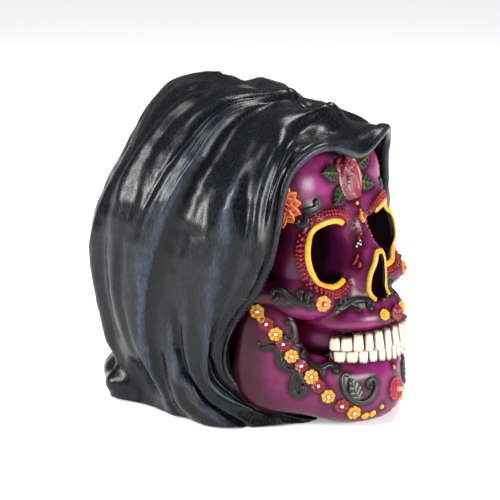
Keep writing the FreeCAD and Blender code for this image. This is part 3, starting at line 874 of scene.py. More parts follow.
def sheet_normals(grid):
    """Outward directions of the hood's grid, alike on both sides."""
    normals = unit(np.cross(np.gradient(grid, axis=1), np.gradient(grid, axis=0)))
    # The columns crowd together at the middle of the crown, so one direction serves there.
    pole = HOOD_COLUMNS // 2
    normals[pole - 6:pole + 7, :8] = normals[pole, 8]
    normals[:, 0] = unit(normals[:, 0] * (0, 1, 1) + (0, 0, 1e-6))
    return unit(normals + normals[::-1] * (-1, 1, 1))


def held_in(points):
    """Points whose side bulge is pressed back to the figure's full width."""
    x = np.abs(points[..., 0])
    pressed = np.where(x > WIDEST_X, WIDEST_X + (x - WIDEST_X) * 0.55, x)
    points[..., 0] = np.sign(points[..., 0]) * pressed
    return points


def smoothed(field, rounds):
    """A grid of numbers evened out over its neighbours."""
    for _ in range(rounds):
        padded = np.pad(field, 1, mode="edge")
        beside = padded[:-2, 1:-1] + padded[2:, 1:-1]
        field = (beside + padded[1:-1, :-2] + padded[1:-1, 2:] + field) / 5
    return field


def wear(height):
    """Where a dry brush would catch the cloth: high where the surface stands out."""
    stand = height - smoothed(height, 120)
    fine = height - smoothed(height, 12)
    return np.clip(0.42 + 0.30 * stand + 0.9 * fine, 0, 1)


def hood_sheets():
    """The hood's outer and inner grids of points, and how worn the outer one is."""
    base = hood_grid()
    s = np.linspace(0, 2 * RIB_COUNT, HOOD_COLUMNS)[:, None] * np.ones((1, HOOD_ROWS))
    v = np.ones((HOOD_COLUMNS, 1)) * np.linspace(0, STATION_COUNT, HOOD_ROWS)[None]
    r = np.minimum(s, 2 * RIB_COUNT - s)
    base = base + sheet_normals(base) * sag(r, v)[..., None]
    base[:, 0, 0] = 0
    normals = sheet_normals(base)
    height = folds(r, v) + rim_band(r, v) + knobs(base)
    height = height + 0.35 * wavy(base, 24, 3) + 0.15 * wavy(base, 9, 4)
    outer = base + normals * (height * rise(v, 0.0, 0.1))[..., None]
    outer[:, 0, 0] = 0
    outer[..., 2] = np.clip(outer[..., 2], LOWEST_Z, HIGHEST_Z)
    outer = held_in(outer)
    inner = base - normals * (HOOD_WALL - 0.35 * np.maximum(height, -3))[..., None]
    inner[:, 0, 0] = 0
    inner[:, -1, 2] = outer[:, -1, 2]
    return outer, inner, wear(height)


def rim_arc(outer, inner, way):
    """Columns that carry the outer sheet's edge round to the inner sheet's edge."""
    middle, half = (outer + inner) / 2, (outer - inner) / 2
    outwards = unit(way) * np.linalg.norm(half, axis=-1, keepdims=True)
    angles = np.linspace(0, math.pi, RIM_STEPS + 2)[1:-1]
    return np.stack([middle + half * math.cos(a) + outwards * math.sin(a) for a in angles])


def hood_faces(columns, rows):
    """Faces of the closed strip of columns, and of the flat hem between its lower edges."""
    numbers = np.arange(columns * rows).reshape(columns, rows)
    after = np.roll(numbers, -1, axis=0)
    corners = [numbers[:, :-1], numbers[:, 1:], after[:, 1:], after[:, :-1]]
    faces = np.stack(corners, -1).reshape(-1, 4).tolist()
    hem = numbers[:, -1]
    for k in range(HOOD_COLUMNS - 1):
        partner = 2 * HOOD_COLUMNS + RIM_STEPS - 1 - k
        faces.append((hem[k], hem[partner], hem[partner - 1], hem[k + 1]))
    return faces


def make_hood(paint):
    """The hood as one closed strip: outer face, rounded rim, inner face, rounded rim."""
    outer, inner, worn = hood_sheets()
    first = rim_arc(outer[0], inner[0], outer[0] - outer[2])
    last = rim_arc(outer[-1], inner[-1], outer[-1] - outer[-3])
    strip = np.concatenate([outer, last, inner[::-1], first[::-1]])
    strip[..., 2] = np.maximum(strip[..., 2], LOWEST_Z)
    worn_rim = np.full(last.shape[:2], WORN_RIM)
    worn = np.concatenate([worn, worn_rim, worn * 0, worn_rim])
    faces = hood_faces(*strip.shape[:2])
    piece = make("hood_cloth", strip.reshape(-1, 3), faces, paint, worn=worn.reshape(-1))
    weld(piece, 0.02)
    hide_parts("hood_shell")


# ---- the bone ----
BONE_STEP = 0.8              # grid spacing of the bone's surface
OUTLINE_SHADE_REACH = 2.6            # how far the dark red outline and painted shade spread from an ornament


def make_bone(paint):
    """The skull and the jaw, each as one smooth surface."""
    skull_grid = (np.arange(-52, 52.1, BONE_STEP), uneven(-77, 62, -16, BONE_STEP, 3),
                  np.arange(28, 134, BONE_STEP))
    jaw_grid = (np.arange(-50, 50.1, BONE_STEP), np.arange(-75, -8, BONE_STEP),
                np.arange(-1, 60, BONE_STEP))
    pieces = {}
    for name, field, grid in (("skull_bone", skull, skull_grid), ("jaw_bone", jaw, jaw_grid)):
        verts, faces = surface_of(field, *grid)
        for _ in range(2):
            verts = verts - slope(field, verts) * field(verts)[..., None]
        normals = slope(field, verts)
        if name == "jaw_bone":
            verts[:, 2] = np.maximum(verts[:, 2], 0.5)
        closed = shelter(bone, verts, normals)
        # black is socket paint; the dark red share is mostly painted shade and painted shadow.
        black, ruddy = painted(verts, name)
        pieces[name] = make(name, verts, faces, paint, shelter=closed, black=black, ruddy=ruddy)
    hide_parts("skull", "eye_cup_right", "eye_cup_left", "nose_cup")
    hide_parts("lower_jaw")
    return pieces


def near_hood(p):
    """How close bone is to the hood's rim: 1 right under it and everywhere behind it."""
    rim = spline(HOOD_RIBS[0], np.linspace(0, 1, 60))
    q = folded(p)
    found = np.full(len(p), FAR)
    for place in rim:
        found = np.minimum(found, np.linalg.norm(q - place, axis=1))
    rim_y = np.interp(q[:, 2], rim[::-1, 2], rim[::-1, 1])
    behind = rise(q[:, 1] - rim_y, 4, 4)
    # The shadow of the hood spreads further near the neck than on the forehead.
    reach = np.interp(q[:, 2], [40, 100], [15, 6])
    close = 1.15 * np.exp(-np.maximum(found - 6, 0) / reach)
    return np.clip(close + behind, 0, 1)


def painted(p, name):
    """Shares of black paint and of dark red on the bone; the dark red is mostly painted shade and painted
    shadow of the hood, with some dark red paint.
    """
    q = folded(p)
    # Painted shadow of the hood, on the bone near its rim and behind it.
    hood_shade = 0.9 * near_hood(p)
    if name == "jaw_bone":
        # Painted shade under the jaw near the floor and on its back part, under the hood.
        underside = 0.6 * rise(-p[:, 2], -6, 2) * rise(p[:, 1], -50, 5)
        hinge = 0.97 * rise(p[:, 1], -38, 4.5)
        return np.zeros(len(p)), np.maximum(np.maximum(underside, hinge), hood_shade)
    hole = rise(-socket_distance(p), -0.5, 0.35)
    nose = rise(-nose_distance(p), -0.4, 0.3)
    inner_wall = rise(-q[:, 0], -12.5, 1.2) * rise(-p[:, 1], 45.5, 1.5)
    black = np.clip(np.maximum(hole * (1 - inner_wall), nose), 0, 1)
    # Painted shade at the temple, under the hood's edge.
    temple = 0.8 * bump(q[:, 0], 38, 6) * bump(p[:, 1], -32, 9) * bump(p[:, 2], 78, 12)
    ruddy = np.maximum(0.55 * hole * inner_wall, temple)
    return black, np.maximum(ruddy, hood_shade)


def outline_and_shade_round_ornaments(bones, ornaments):
    """Darkens the bone to dark red round each raised ornament: a dark red outline, and painted shade where
    the ornament meets the bone.
    """
    places = [v.co.copy() for piece in ornaments for v in piece.data.vertices]
    tree = KDTree(len(places))
    for k, place in enumerate(places):
        tree.insert(place, k)
    tree.balance()
    for piece in bones.values():
        layer = piece.data.attributes["ruddy"]
        for k, vertex in enumerate(piece.data.vertices):
            far = tree.find(vertex.co)[2] / MM
            outline_shade = 0.95 * math.exp(-(far / OUTLINE_SHADE_REACH) ** 2)
            layer.data[k].value = max(layer.data[k].value, outline_shade)


# ---- the teeth ----
ARCH_HALF_W, ARCH_HALF_D, ARCH_Y, BITE_Z = 25.0, 21.0, -51.3, 33.2
ARCH_RADIUS = 22.6           # turns a length along the row into an angle
WALL_ANGLE, WALL_THICK, WALL_STEPS = 1.42, 2.4, 60
# Widths run from the middle tooth outwards. lean tips the biting edges outwards, back sets a
# row in, and wall gives the heights of the dark wall behind it, from the bite line.
TOOTH_ROWS = {
    "upper": dict(widths=[4.6, 4.0, 4.6, 4.2, 4.4, 5.2, 4.8], height=8.4, depth=5.0,
                  lean=0.26, back=1.4, wall=(0.8, 5.04)),
    "lower": dict(widths=[3.4, 3.6, 4.2, 4.2, 4.4, 5.4, 5.0], height=6.2, depth=4.6,
                  lean=0.02, back=1.2, wall=(-5.27, -0.8)),
}


def arch_place(angle):
    """Place and outward direction on the tooth arch; 0 is the front, positive towards +X."""
    place = np.array([ARCH_HALF_W * math.sin(angle), ARCH_Y - ARCH_HALF_D * math.cos(angle), 0])
    out = unit(np.array([math.sin(angle) / ARCH_HALF_W, -math.cos(angle) / ARCH_HALF_D, 0]))
    return place, out


def tooth(width, height, depth, uneven_by):
    """A crown about the origin: X across, Y outwards, Z from the gum at 0 to the bite."""
    rows, around, power = 12, 20, 0.5
    verts, shade = [], []
    for k in range(rows + 1):
        t = k / rows
        swell = 0.84 + 0.16 * math.sin(min(t * 1.25, 1) * math.pi / 2)
        round_off = 1 - 0.20 * max(0, (t - 0.86) / 0.14) ** 2
        for j in range(around):
            a = 2 * math.pi * j / around
            c, s = math.cos(a), math.sin(a)
            x = math.copysign(abs(c) ** power, c) * width / 2 * swell * round_off
            y = math.copysign(abs(s) ** power, s) * depth / 2 * (1 - 0.30 * t) * round_off
            ridge = 0.10 * math.cos(3 * math.pi * x / width) * (s > 0)
            verts.append((x, y + ridge, height * t + 0.25 * uneven_by * math.sin(2.2 * x)))
            edge = max(0, abs(x) / (width / 2 * swell) - 0.80) * 5.0
            shade.append(min(1, 0.9 * max(0, 0.22 - t) / 0.22 + edge * (1.0 - 0.4 * t)))
    faces = tube_faces(rows + 1, around)
    faces.append(tuple(range(around))[::-1])
    faces.append(tuple(rows * around + j for j in range(around)))
    return np.array(verts), faces, np.array(shade)


def gum_wall(pile, low, high):
    """A dark curved wall behind a row of teeth that closes the gaps between them."""
    front, back = -0.3, -0.3 - WALL_THICK
    verts = []
    for angle in np.linspace(-WALL_ANGLE, WALL_ANGLE, WALL_STEPS):
        place, out = arch_place(angle)
        for away, z in ((front, low), (front, high), (back, high), (back, low)):
            verts.append(place + out * away + np.array([0, 0, z]))
    faces = tube_faces(WALL_STEPS, 4)
    faces.append((3, 2, 1, 0))
    faces.append(tuple(4 * (WALL_STEPS - 1) + j for j in range(4)))
    pile.add(verts, faces, 1.0)


def add_tooth(pile, row, shape, angle, z, twist):
    """Carries a crown to its place on the arch; z gives the height of each of its points."""
    verts, faces, shade = shape
    place, out = arch_place(angle)
    across = np.array([-out[1], out[0], 0])
    x = verts[:, :1] * math.cos(twist) - verts[:, 1:2] * math.sin(twist)
    y = verts[:, :1] * math.sin(twist) + verts[:, 1:2] * math.cos(twist)
    outwards = y + row["lean"] * verts[:, 2:3] - row["back"]
    pile.add(place + across * x + out * outwards + np.array([0, 0, 1.0]) * z, faces, shade)


def make_teeth(paint):
    """Both rows of teeth, each with the wall behind it."""
    chance = random.Random(SEED)
    for name, row in TOOTH_ROWS.items():
        pile = Pile()
        for side in (-1, 1):
            travelled = 0.0
            for k, width in enumerate(row["widths"]):
                width = width * chance.uniform(0.95, 1.05)
                angle = side * (travelled + width / 2) / ARCH_RADIUS
                travelled += width
                tall = row["height"] * (1 - 0.055 * k) * chance.uniform(0.90, 1.06)
                verts, faces, shade = tooth(width, tall, row["depth"], chance.uniform(-1, 1))
                if name == "upper":
                    z = BITE_Z + 0.1 * k + tall - verts[:, 2:3]
                    faces = [f[::-1] for f in faces]
                else:
                    z = BITE_Z - 0.2 - tall + verts[:, 2:3]
                twist = math.radians(chance.uniform(-5, 5))
                add_tooth(pile, row, (verts, faces, shade), angle, z, twist)
        low, high = row["wall"]
        gum_wall(pile, BITE_Z + low, BITE_Z + high)
        piece = make_pile(f"{name}_tooth_row", pile, paint)
        weld(piece, 1e-6)
        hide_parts(f"{name}_teeth")


def tooth_paint():
    made, tree, shader = material("tooth_paint", 0.30, coat=0.4)
    streak = grain(tree, 0.9, 5, (1.6, 1.6, 0.35), 0.7)
    share = maths(tree, "ADD", number(tree, "shade"), ramp(tree, streak, 0.5, 0.75, 0.0, 0.35))
    share = maths(tree, "MULTIPLY", share, ramp(tree, streak, 0.3, 0.6, 0.7, 1.2))
    share = ramp(tree, share, 0.08, 1.0)
    colour = blend(tree, share, (0.62, 0.52, 0.41), (0.075, 0.024, 0.010))
    tree.links.new(colour, shader.inputs["Base Color"])
    relief(tree, shader, streak, 0.3, 0.3)
    return made


# ---- the ornaments: described on the figure's right side, made on both ----
GARLAND = [
    (-43, -31.5, 50.5), (-42.5, -35.5, 45.8), (-41, -39, 41.8), (-39.7, -41.7, 37.7),
    (-38, -44.5, 32.6), (-35.5, -47.6, 28.2), (-33.5, -51.4, 23.7), (-32.2, -54, 20),
    (-29.6, -57.2, 15.5), (-24.7, -60.5, 11), (-19, -62.4, 7.8),
]
GARLAND_RADIUS = 3.0
LINE_GAP = 0.9               # bone left between an opening and the line round it

# Rows of beads round an eye: (distance from the yellow line, number of beads, bead radius).
LACE_ROWS = [(1.9, 40, 0.55), (3.0, 36, 0.95), (4.3, 44, 0.66)]
LACE_PLACES = 170

# Layers of an open flower: (radius, petals, height, turn, darkness).
TEMPLE_LAYERS = [(10.2, 13, 1.0, 8, 2.0), (7.4, 11, 1.7, 25, 2.2), (4.6, 9, 2.4, 5, 2.2)]
CHIN_LAYERS = [(5.2, 11, 1.0, 5, 0.5), (3.8, 9, 1.8, 20, 0.6), (2.4, 7, 2.4, 0, 0.6)]

# Petals of the two roses: (right, up, half width, half height, turn, level).
LIP_ROSE = [
    (-1.6, -0.4, 2.0, 2.6, 10, 0.9), (1.6, -0.4, 2.0, 2.6, -10, 1.0), (0, -1.3, 2.3, 1.9, 0, 1.3),
    (0, 1.0, 2.1, 2.0, 0, 1.5), (0, 0.2, 1.5, 1.4, 20, 1.9), (0.1, 0.3, 0.8, 0.8, 0, 2.2),
]
FOREHEAD_ROSE = [
    (-3.8, -1.0, 5.0, 7.8, 14, 1.0), (3.8, -1.0, 4.8, 7.6, -14, 1.3), (-3.8, 4.6, 4.6, 4.8, 0, 1.1),
    (3.8, 4.8, 4.4, 4.6, 0, 1.3), (-2.6, -1.4, 4.3, 6.8, 18, 2.1), (2.5, -0.8, 4.0, 6.6, -20, 2.7),
    (-0.4, -3.4, 3.5, 5.6, 4, 3.4), (0.1, 4.4, 4.0, 3.8, 0, 2.9), (-0.6, 4.5, 2.9, 2.7, 0, 3.6),
    (0.4, 4.7, 1.9, 1.7, 0, 4.2), (0.0, 4.7, 0.9, 0.8, 0, 4.7),
]
# Leaves round the forehead rose: (place, turn, length, width).
ROSE_LEAVES = [
    ((-16, -49, 105), 168, 11, 7.5), ((-12.5, -52, 95.5), 205, 13, 9),
    ((10.5, -51, 97), -20, 12, 8), ((12, -48.5, 106), 20, 11, 7.5),
]
# Red beads beside the bridge of the nose, then the long drops below them.
RED_BEADS = [((1.2, 4.6), 0.9), ((-0.4, 3.2), 0.9), ((-0.9, 1.2), 0.8),
             ((0.2, -0.4), 0.9), ((1.4, -2.2), 0.8), ((0.3, -3.9), 0.7)]
RED_DROPS = [((-1.0, -12.0), 60), ((-2.2, -14.0), 40), ((-0.4, -15.0), 75)]
WHITE_BEADS = [(0.9, 1.3), (0.1, 0), (-0.5, -1.2), (1.1, -0.4)]


def make_sided(paints, name, pile, paint, *nodes):
    """Makes a right-side pile and its mirror image in place of the nodes of each side."""
    for side, made in (("right", pile), ("left", pile.mirrored())):
        piece = make_pile(f"{name}_{side}", made, paints[paint])
        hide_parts(*[f"{node}_{side}" for node in nodes])


def make_single(paints, name, pile, paint, *nodes):
    """Makes a piece on the middle line in place of its nodes."""
    piece = make_pile(name, pile, paints[paint])
    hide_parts(*nodes)


def curls(place, *lines):
    """Scrolls round one place: each line is (path, width, height, taper, groove, blob)."""
    work = Relief(place)
    for line in lines:
        work.ridge(*line)
    return work


def layered(place, layers, point, wide):
    """An open flower of several rings of petals."""
    work = Relief(place)
    for radius, petals, height, turn, dark in layers:
        work.flower(radius, petals, height, turn, point, dark, wide)
    return work


def eye_work(paints):
    """The lines round the eyes and the nose, and the beaded lace."""
    outline = Pile()
    band(outline, *eased(eye_places(np.linspace(52, 296, 120), LINE_GAP)), 2.5, 0.65)
    make_sided(paints, "eye_line", outline, "yellow_line", "eye_rim")
    lace = Pile()
    chance = random.Random(SEED)
    rim, _ = eased(eye_places(np.linspace(40, 300, LACE_PLACES), LINE_GAP))
    for row, (distance, count, size) in enumerate(LACE_ROWS):
        chosen = np.linspace(row % 2 * 2, LACE_PLACES - 1, count).astype(int)
        places, outs = walked(rim[chosen], socket_distance, distance)
        sizes = [[size * chance.uniform(0.85, 1.15) for _ in range(2)] for _ in chosen]
        beads_at(lace, places, outs, sizes, 0.9)
    make_sided(paints, "eye_beads", lace, "red_bead", "eye_lace")
    outline = Pile()
    places = nose_places(np.linspace(-140, 140, 90), LINE_GAP)
    band(outline, places, slope(shell, places), 2.3, 0.7)
    make_single(paints, "nose_line", outline, "yellow_line", "nose_rim")


def temple_work(paints):
    bloom = layered((-38.4, -38, 94), TEMPLE_LAYERS, 1.0, 1.25)
    bloom.dome((0, 0), 1.5, 2.9, shade=1.0)
    make_sided(paints, "temple_bloom", bloom, "burnt_orange", "temple_flower")
    scroll = curls(
        (-32, -48.5, 91.5),
        ([(-2.4, 1.2), (0.2, 1.3), (3.2, 1.7), (4.6, 3.2), (4.0, 4.6)], 1.7, 1.0, (0.3, 0.8), 0.25, 1.1),
        ([(-1.6, 0.4), (-0.4, -2.4), (-1.5, -4.3), (-3.7, -4.3), (-4.4, -2.8)],
         1.7, 1.0, (0.4, 0.8), 0.25, 1.1),
    )
    make_sided(paints, "temple_curls", scroll, "black_relief", "temple_scroll")


def cheek_work(paints):
    bloom = Relief((-34, -57, 55.6))
    bloom.flower(3.5, 7, 1.1, turn=20, dark=0.55)
    bloom.dome((0, 0), 1.2, 1.4, shade=1.0)
    make_sided(paints, "cheek_bloom", bloom, "orange", "cheek_flower")
    pearl = Relief((-34, -57, 55.6))
    pearl.dome((0, 0), 0.55, 1.9)
    make_sided(paints, "cheek_pearl", pearl, "pearl")
    back = curls(
        (-41, -46.5, 57),
        ([(11, -3.2), (8.3, -1.9), (4.6, -0.7), (0.3, 0.9), (-3, 3.4), (-6.3, 4.3), (-8.5, 3.2),
          (-8.3, 1.0), (-6.7, 0)], 1.9, 1.2, (0.3, 0.7), 0.3, 1.1),
        ([(4.2, -0.9), (3.4, 2.0), (3.0, 3.8), (4.4, 4.4)], 1.4, 1.1, (0.6, 0.7), 0.25, 0.9),
        ([(7, -1.4), (6.6, 1.9), (7.4, 3.8), (8.6, 3.6)], 1.4, 1.1, (0.6, 0.7), 0.25, 0.9),
        ([(9.6, -2.4), (8.2, -3.2), (7.6, -1.9), (8.8, -1.0), (9.8, -1.6)],
         1.1, 1.1, (0.6, 0.7), 0, 0.7),
    )
    back.leaf((-1.8, -1.6), 205, 6.5, 4.2, 0.9, 4)
    make_sided(paints, "cheek_curls_back", back, "black_relief", "cheek_scroll_back")
    front = curls(
        (-17, -59, 53),
        ([(-8, 1.6), (-7.6, -0.8), (-4.6, -1.9), (-0.8, -1.2), (3.0, -0.6), (6.6, -1.2), (9.0, -3.4),
          (8.0, -5.4)], 1.9, 1.1, (0.5, 0.7), 0.3, 1.1),
        ([(-1.2, -1.0), (-1.6, 1.9), (-3.8, 2.9), (-5.2, 1.5), (-3.8, 0.6)],
         1.4, 1.0, (0.6, 0.7), 0.2, 0.9),
        ([(0.6, -1.4), (2.4, -3.6), (3.4, -6.2)], 1.7, 0.9, (0.7, 0.2), 0.2),
    )
    make_sided(paints, "cheek_curls_front", front, "black_relief", "cheek_scroll_front")


def lip_work(paints):
    rosette = Relief((-7.4, -70.2, 46.6))
    rosette.flower(2.4, 7, 0.9, dark=0.4)
    rosette.dome((0, 0), 1.2, 1.3, shade=0.3)
    make_sided(paints, "lip_bloom", rosette, "yellow_relief", "lip_rosette")
    bud = Relief((0, -71.5, 46))
    rose(bud, LIP_ROSE, (4.4, 4.4), 0.4)
    make_single(paints, "lip_bud", bud, "red_relief", "lip_rose")


def forehead_work(paints):
    bud = Relief((-2.0, -48.6, 100))
    rose(bud, FOREHEAD_ROSE, (9.4, 10.4), 0.75)
    make_single(paints, "forehead_bud", bud, "rose_paint", "forehead_rose")
    for k, (place, turn, length, width) in enumerate(ROSE_LEAVES, start=1):
        leaf = Relief(place)
        leaf.leaf((0, 0), turn, length, width, 1.1)
        make_single(paints, f"forehead_leaf_{k}", leaf, "leaf_green", f"rose_leaf_{k}")
    gem = Relief((0, -55, 84.6))
    gem.dome((0, 0), 2.6, 1.3, 0.72)
    gem.dome((0, 0), 1.5, 1.9, 0.7, shade=1.0)
    make_single(paints, "brow_drop", gem, "orange", "brow_gem")
    dots = Relief((0, -54, 88))
    dots.dome((0, 2.6), 0.95, 0.9)
    dots.dome((0.2, -0.6), 0.6, 0.7)
    make_single(paints, "bridge_beads", dots, "yellow_relief", "bridge_dots")
    red = Relief((-4, -55, 80.5))
    for at, radius in RED_BEADS:
        red.dome(at, radius, 0.7)
    for at, turn in RED_DROPS:
        red.dome(at, 0.7, 0.6, 2.2, turn)
    make_sided(paints, "bridge_red", red, "red_bead")
    white = Relief((-5.6, -56.5, 74.6))
    for at in WHITE_BEADS:
        white.dome(at, 0.45, 0.5)
    make_sided(paints, "bridge_pearls", white, "pearl")


def jaw_work(paints):
    """The scrolls of the jaw and the chin."""
    upper = [
        curls((-36.9, -43.9, 43),
              ([(-2.4, 3.3), (-0.5, 3.6), (1.0, 1.6), (1.2, -1.4), (0, -3.8), (-2.4, -3.6),
                (-3.4, -2.2)], 1.7, 1.2, (0.6, 0.7), 0.25, 1.0)),
        curls((-33, -46.6, 34),
              ([(-4.7, 4.2), (-1.9, 2.8), (0.9, 2.1), (2.6, 0), (2.2, -2.4), (0.3, -2.8),
                (-0.9, -1.4), (0.5, -0.5)], 1.8, 1.3, (0.3, 0.7), 0.25, 0.9)),
        curls((-28.8, -54, 26.8),
              ([(-5.6, 3.8), (-3.8, 1.6), (-0.9, 0.2), (1.6, 1.0), (4.0, 1.3), (5.8, 0),
                (5.2, -2.2)], 1.9, 1.3, (0.4, 0.7), 0.3, 1.0),
              ([(1.0, 0.8), (-0.4, -1.7), (-0.6, -4.0)], 1.6, 1.1, (0.7, 0.4), 0.2)),
    ]
    make_sided(paints, "jaw_curls_upper", gathered(upper), "black_relief", "jaw_scroll_upper")
    lower = curls(
        (-42, -38, 36),
        ([(-6.1, 3.0), (-5.2, 0.1), (-2.1, 0), (0.2, 0.7), (2.4, -0.9), (2.8, -3.8), (3.2, -6.6),
          (4.9, -8.4), (7.8, -9.0), (9.6, -10.4)], 1.7, 1.2, (0.5, 0.5), 0.3),
    )
    lower.leaf((3.9, -5.6), 115, 6.5, 3.6, 1.1, 4)
    below = curls(
        (-37.2, -47.3, 21),
        ([(-0.6, 5.4), (-1.9, 1.5), (-2.3, -1.8), (-0.8, -4.4), (1.9, -4.2), (2.9, -2.2),
          (1.5, -1.2)], 1.8, 1.3, (0.5, 0.7), 0.3, 0.9),
    )
    below.leaf((1.2, 2.6), -60, 6.5, 3.8, 1.0, 4)
    make_sided(paints, "jaw_curls_lower", gathered([lower, below]), "black_relief", "jaw_scroll_lower")
    chin = curls(
        (-18.5, -64.3, 17.2),
        ([(-3.6, 5.6), (-5.0, 6.8), (-6.8, 6.1), (-7.2, 2.8), (-5.8, -1.4), (-2.8, -4.7), (0.9, -6.2),
          (4.7, -5.6), (7.5, -2.8), (8.6, 0.5), (7.6, 2.8), (5.2, 2.6), (4.4, 0.6), (5.8, -0.3)],
         1.6, 1.3, (0.7, 0.7), 0.3, 0.9),
    )
    make_sided(paints, "chin_curl", chin, "black_relief", "chin_scroll")
    leaf = Relief((-18.5, -64.3, 17.2))
    leaf.leaf((-1.8, 0.0), 112, 11.0, 7.4, 1.3, 5)
    make_sided(paints, "chin_leaf", leaf, "vine")


def garland_work(paints):
    """The chain of flowers down the jaw, with pearls in their middles and dots at its end."""
    chance = random.Random(SEED)
    yellow, red, pearls = [], [], []
    for k, place in enumerate(GARLAND):
        bloom = Relief(place)
        size = GARLAND_RADIUS * chance.uniform(0.94, 1.04)
        bloom.flower(size, 7, 1.3, turn=chance.uniform(0, 50), dark=1.0)
        bloom.dome((0, 0), 1.1, 1.1, shade=0.8)
        (red if k % 2 else yellow).append(bloom)
        pearl = Relief(place)
        pearl.dome((0, 0), 0.72, 2.0, chance.uniform(0.9, 1.25))
        pearls.append(pearl)
    small = Relief((-43, -33.5, 48))
    small.flower(1.6, 5, 1.4, dark=0.5)
    yellow.append(small)
    make_sided(paints, "garland_gold", gathered(yellow), "yellow_relief", "garland_yellow")
    make_sided(paints, "garland_crimson", gathered(red), "red_relief", "garland_red")
    make_sided(paints, "garland_centres", gathered(pearls), "pearl", "garland_pearls")
    dots = Relief((-12.5, -65, 6.6))
    for at, radius, height in (((-1.5, -0.8), 1.9, 0.9), ((1.9, -0.2), 1.7, 0.9), ((6.4, 2.4), 1.3, 0.8)):
        dots.dome(at, radius, height)
    make_sided(paints, "jaw_beads", dots, "yellow_relief", "jaw_dots")


def chin_work(paints):
    bloom = layered((0.5, -71.5, 13), CHIN_LAYERS, 0.0, 1.15)
    make_single(paints, "chin_dahlia", bloom, "dahlia_paint", "chin_flower")
    centre = Relief((0.5, -71.5, 13))
    centre.dome((0, 0), 1.2, 3.2)
    make_single(paints, "chin_centre", centre, "peach", "chin_flower_centre")
    high = Relief((0, -71, 24.5))
    high.dome((1.5, -2.0), 1.2, 0.6, 0.55)
    low = Relief((0, -68, 5.4))
    low.dome((0, 0), 1.2, 0.6, 0.6)
    make_single(paints, "chin_beads", gathered([high, low]), "yellow_relief", "chin_dots")


# Paints of the raised work: two tones, then roughness, coat and the range of the brushwork.
PAINTS = {
    "yellow_line": ((0.70, 0.34, 0.018), (0.50, 0.19, 0.010)),
    "red_bead": ((0.26, 0.005, 0.016), (0.060, 0.001, 0.008), 0.38, 0.1),
    "orange": ((0.72, 0.24, 0.015), (0.30, 0.008, 0.005)),
    "burnt_orange": ((0.66, 0.17, 0.011), (0.20, 0.007, 0.004)),
    "black_relief": ((0.008, 0.010, 0.009), (0.002, 0.003, 0.003), 0.34, 0.0),
    "vine": ((0.100, 0.115, 0.012), (0.003, 0.004, 0.003), 0.30, 0.1, 0.9, 1.0),
    "yellow_relief": ((0.74, 0.38, 0.022), (0.26, 0.035, 0.006)),
    "red_relief": ((0.27, 0.006, 0.016), (0.05, 0.001, 0.005)),
    "rose_paint": ((0.25, 0.040, 0.062), (0.035, 0.001, 0.004), 0.34, 0.12, 0.5, 0.9),
    "dahlia_paint": ((0.40, 0.03, 0.06), (0.09, 0.002, 0.010)),
    "leaf_green": ((0.080, 0.095, 0.014), (0.004, 0.008, 0.004), 0.35, 0.05, 0.8, 1.0),
    "pearl": ((0.92, 0.88, 0.80), (0.70, 0.60, 0.48), 0.2, 0.6),
    "peach": ((0.86, 0.50, 0.26), (0.70, 0.30, 0.12)),
}


def make_ornaments():
    """Makes all the raised work and returns its pieces."""
    before = set(bpy.data.objects)
    paints = {name: plain_paint(name, *numbers) for name, numbers in PAINTS.items()}
    for work in (eye_work, temple_work, cheek_work, lip_work, forehead_work, jaw_work, garland_work,
                 chin_work):
        work(paints)
    return [piece for piece in bpy.data.objects if piece not in before]


def finish_underside(nodes):
    """Procedural paint for the base plate and the felt pads, which keep their own shapes."""
    base = plain_paint("base_resin", (0.016, 0.017, 0.020), (0.006, 0.006, 0.008), 0.55, 0.0)
    felt, tree, shader = material("felt", 0.95, specular=0.1)
    fibres = grain(tree, 3.0, 6, rough=0.7)
    share = ramp(tree, fibres, 0.35, 0.65)
    colour = blend(tree, share, (0.010, 0.011, 0.012), (0.045, 0.047, 0.050))
    tree.links.new(colour, shader.inputs["Base Color"])
    relief(tree, shader, fibres, 0.8, 0.4)
    for name, paint in (("base_plate", base), ("felt_pads", felt)):
        piece = nodes[name]
        piece.data.materials.clear()
        piece.data.materials.append(paint)


# ---- stage: metres and degrees ----
CAMERA_TURN, CAMERA_RISE, CAMERA_AWAY = -57.0, 14.0, 0.750
AIM = (0, 0, 0.063)
LENS, SENSOR = 124.7, 36
FLOOR_HALF = 3.0
FLOOR_GLOW = 0.32            # keeps the floor pale without bright lights
BACKDROP_LIGHT = 0.16        # how much the white backdrop lights the figure
SUN_TOWARDS, SUN_STRENGTH, SUN_SPREAD = (-0.45, 0.40, 1.30), 1.3, 22
# Square area lights: (name, place, size, power in watts).
LIGHTS = [
    ("window", (-0.76, 0.36, 0.56), 0.26, 5.5),
    ("overhead", (0.42, -0.05, 0.98), 0.30, 5.5),
    ("face", (-0.05, -0.75, 0.22), 0.30, 7.0),
    ("ridge", (-0.60, 0.50, 0.30), 0.16, 4.0),
]


def place_camera():
    turn, lift = math.radians(CAMERA_TURN), math.radians(CAMERA_RISE)
    flat = CAMERA_AWAY * math.cos(lift)
    height = AIM[2] + CAMERA_AWAY * math.sin(lift)
    camera = bpy.data.objects.new("camera", bpy.data.cameras.new("camera"))
    bpy.context.scene.collection.objects.link(camera)
    camera.location = (flat * math.sin(turn), -flat * math.cos(turn), height)
    camera.rotation_euler = (math.pi / 2 - lift, 0, turn)
    camera.data.lens = LENS
    camera.data.sensor_width = SENSOR
    bpy.context.scene.camera = camera


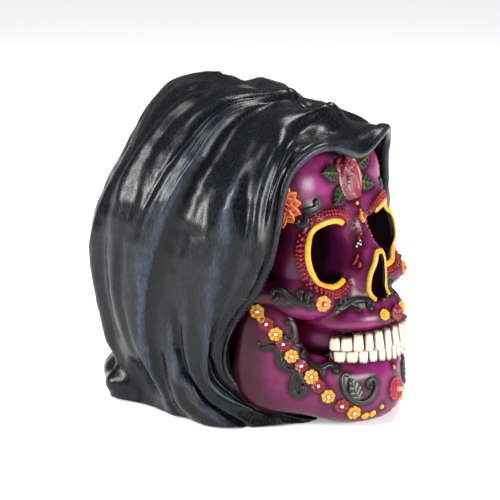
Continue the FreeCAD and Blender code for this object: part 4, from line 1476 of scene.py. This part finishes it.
def soft_light(name, place, size, power):
    """A square area light that looks at the figure."""
    lamp = bpy.data.lights.new(name, "AREA")
    lamp.size = size
    lamp.energy = power
    holder = bpy.data.objects.new(name, lamp)
    bpy.context.scene.collection.objects.link(holder)
    holder.location = place
    aim = np.array(AIM) - np.array(place)
    holder.rotation_euler = Vector(aim).to_track_quat("-Z", "Y").to_euler()


def soft_sun():
    """Even light from the upper left and behind, softened over a wide angle."""
    lamp = bpy.data.lights.new("top_left", "SUN")
    lamp.energy = SUN_STRENGTH
    lamp.angle = math.radians(SUN_SPREAD)
    holder = bpy.data.objects.new("top_left", lamp)
    bpy.context.scene.collection.objects.link(holder)
    holder.rotation_euler = Vector(SUN_TOWARDS).to_track_quat("Z", "Y").to_euler()


def make_world():
    """A white backdrop that gives only a little light of its own."""
    world = bpy.data.worlds.new("studio")
    world.use_nodes = True
    tree = world.node_tree
    seen = tree.nodes.new("ShaderNodeLightPath")
    backdrop = tree.nodes["Background"]
    backdrop.inputs["Color"].default_value = (1, 1, 1, 1)
    strength = ramp(tree, seen.outputs["Is Camera Ray"], 0, 1, BACKDROP_LIGHT, 1.0)
    tree.links.new(strength, backdrop.inputs["Strength"])
    bpy.context.scene.world = world


def make_floor():
    pale, _, shader = material("pale_floor", 0.9, specular=0.1)
    shader.inputs["Base Color"].default_value = (0.93, 0.93, 0.93, 1)
    shader.inputs["Emission Color"].default_value = (1, 1, 1, 1)
    shader.inputs["Emission Strength"].default_value = FLOOR_GLOW
    corners = [(x * FLOOR_HALF, y * FLOOR_HALF, 0) for x, y in ((-1, -1), (1, -1), (1, 1), (-1, 1))]
    mesh = bpy.data.meshes.new("floor")
    mesh.from_pydata(corners, [], [(0, 1, 2, 3)])
    mesh.materials.append(pale)
    floor = bpy.data.objects.new("floor", mesh)
    bpy.context.scene.collection.objects.link(floor)


def make_stage():
    """The floor, the backdrop and the lights."""
    make_floor()
    make_world()
    soft_sun()
    for light in LIGHTS:
        soft_light(*light)
    bpy.context.scene.view_settings.view_transform = "Standard"


def main():
    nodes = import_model()["nodes"]
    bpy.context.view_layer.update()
    make_hood(hood_paint())
    bone_pieces = make_bone(bone_paint())
    make_teeth(tooth_paint())
    outline_and_shade_round_ornaments(bone_pieces, make_ornaments())
    finish_underside(nodes)
    make_stage()
    place_camera()
    bpy.context.view_layer.update()


main()
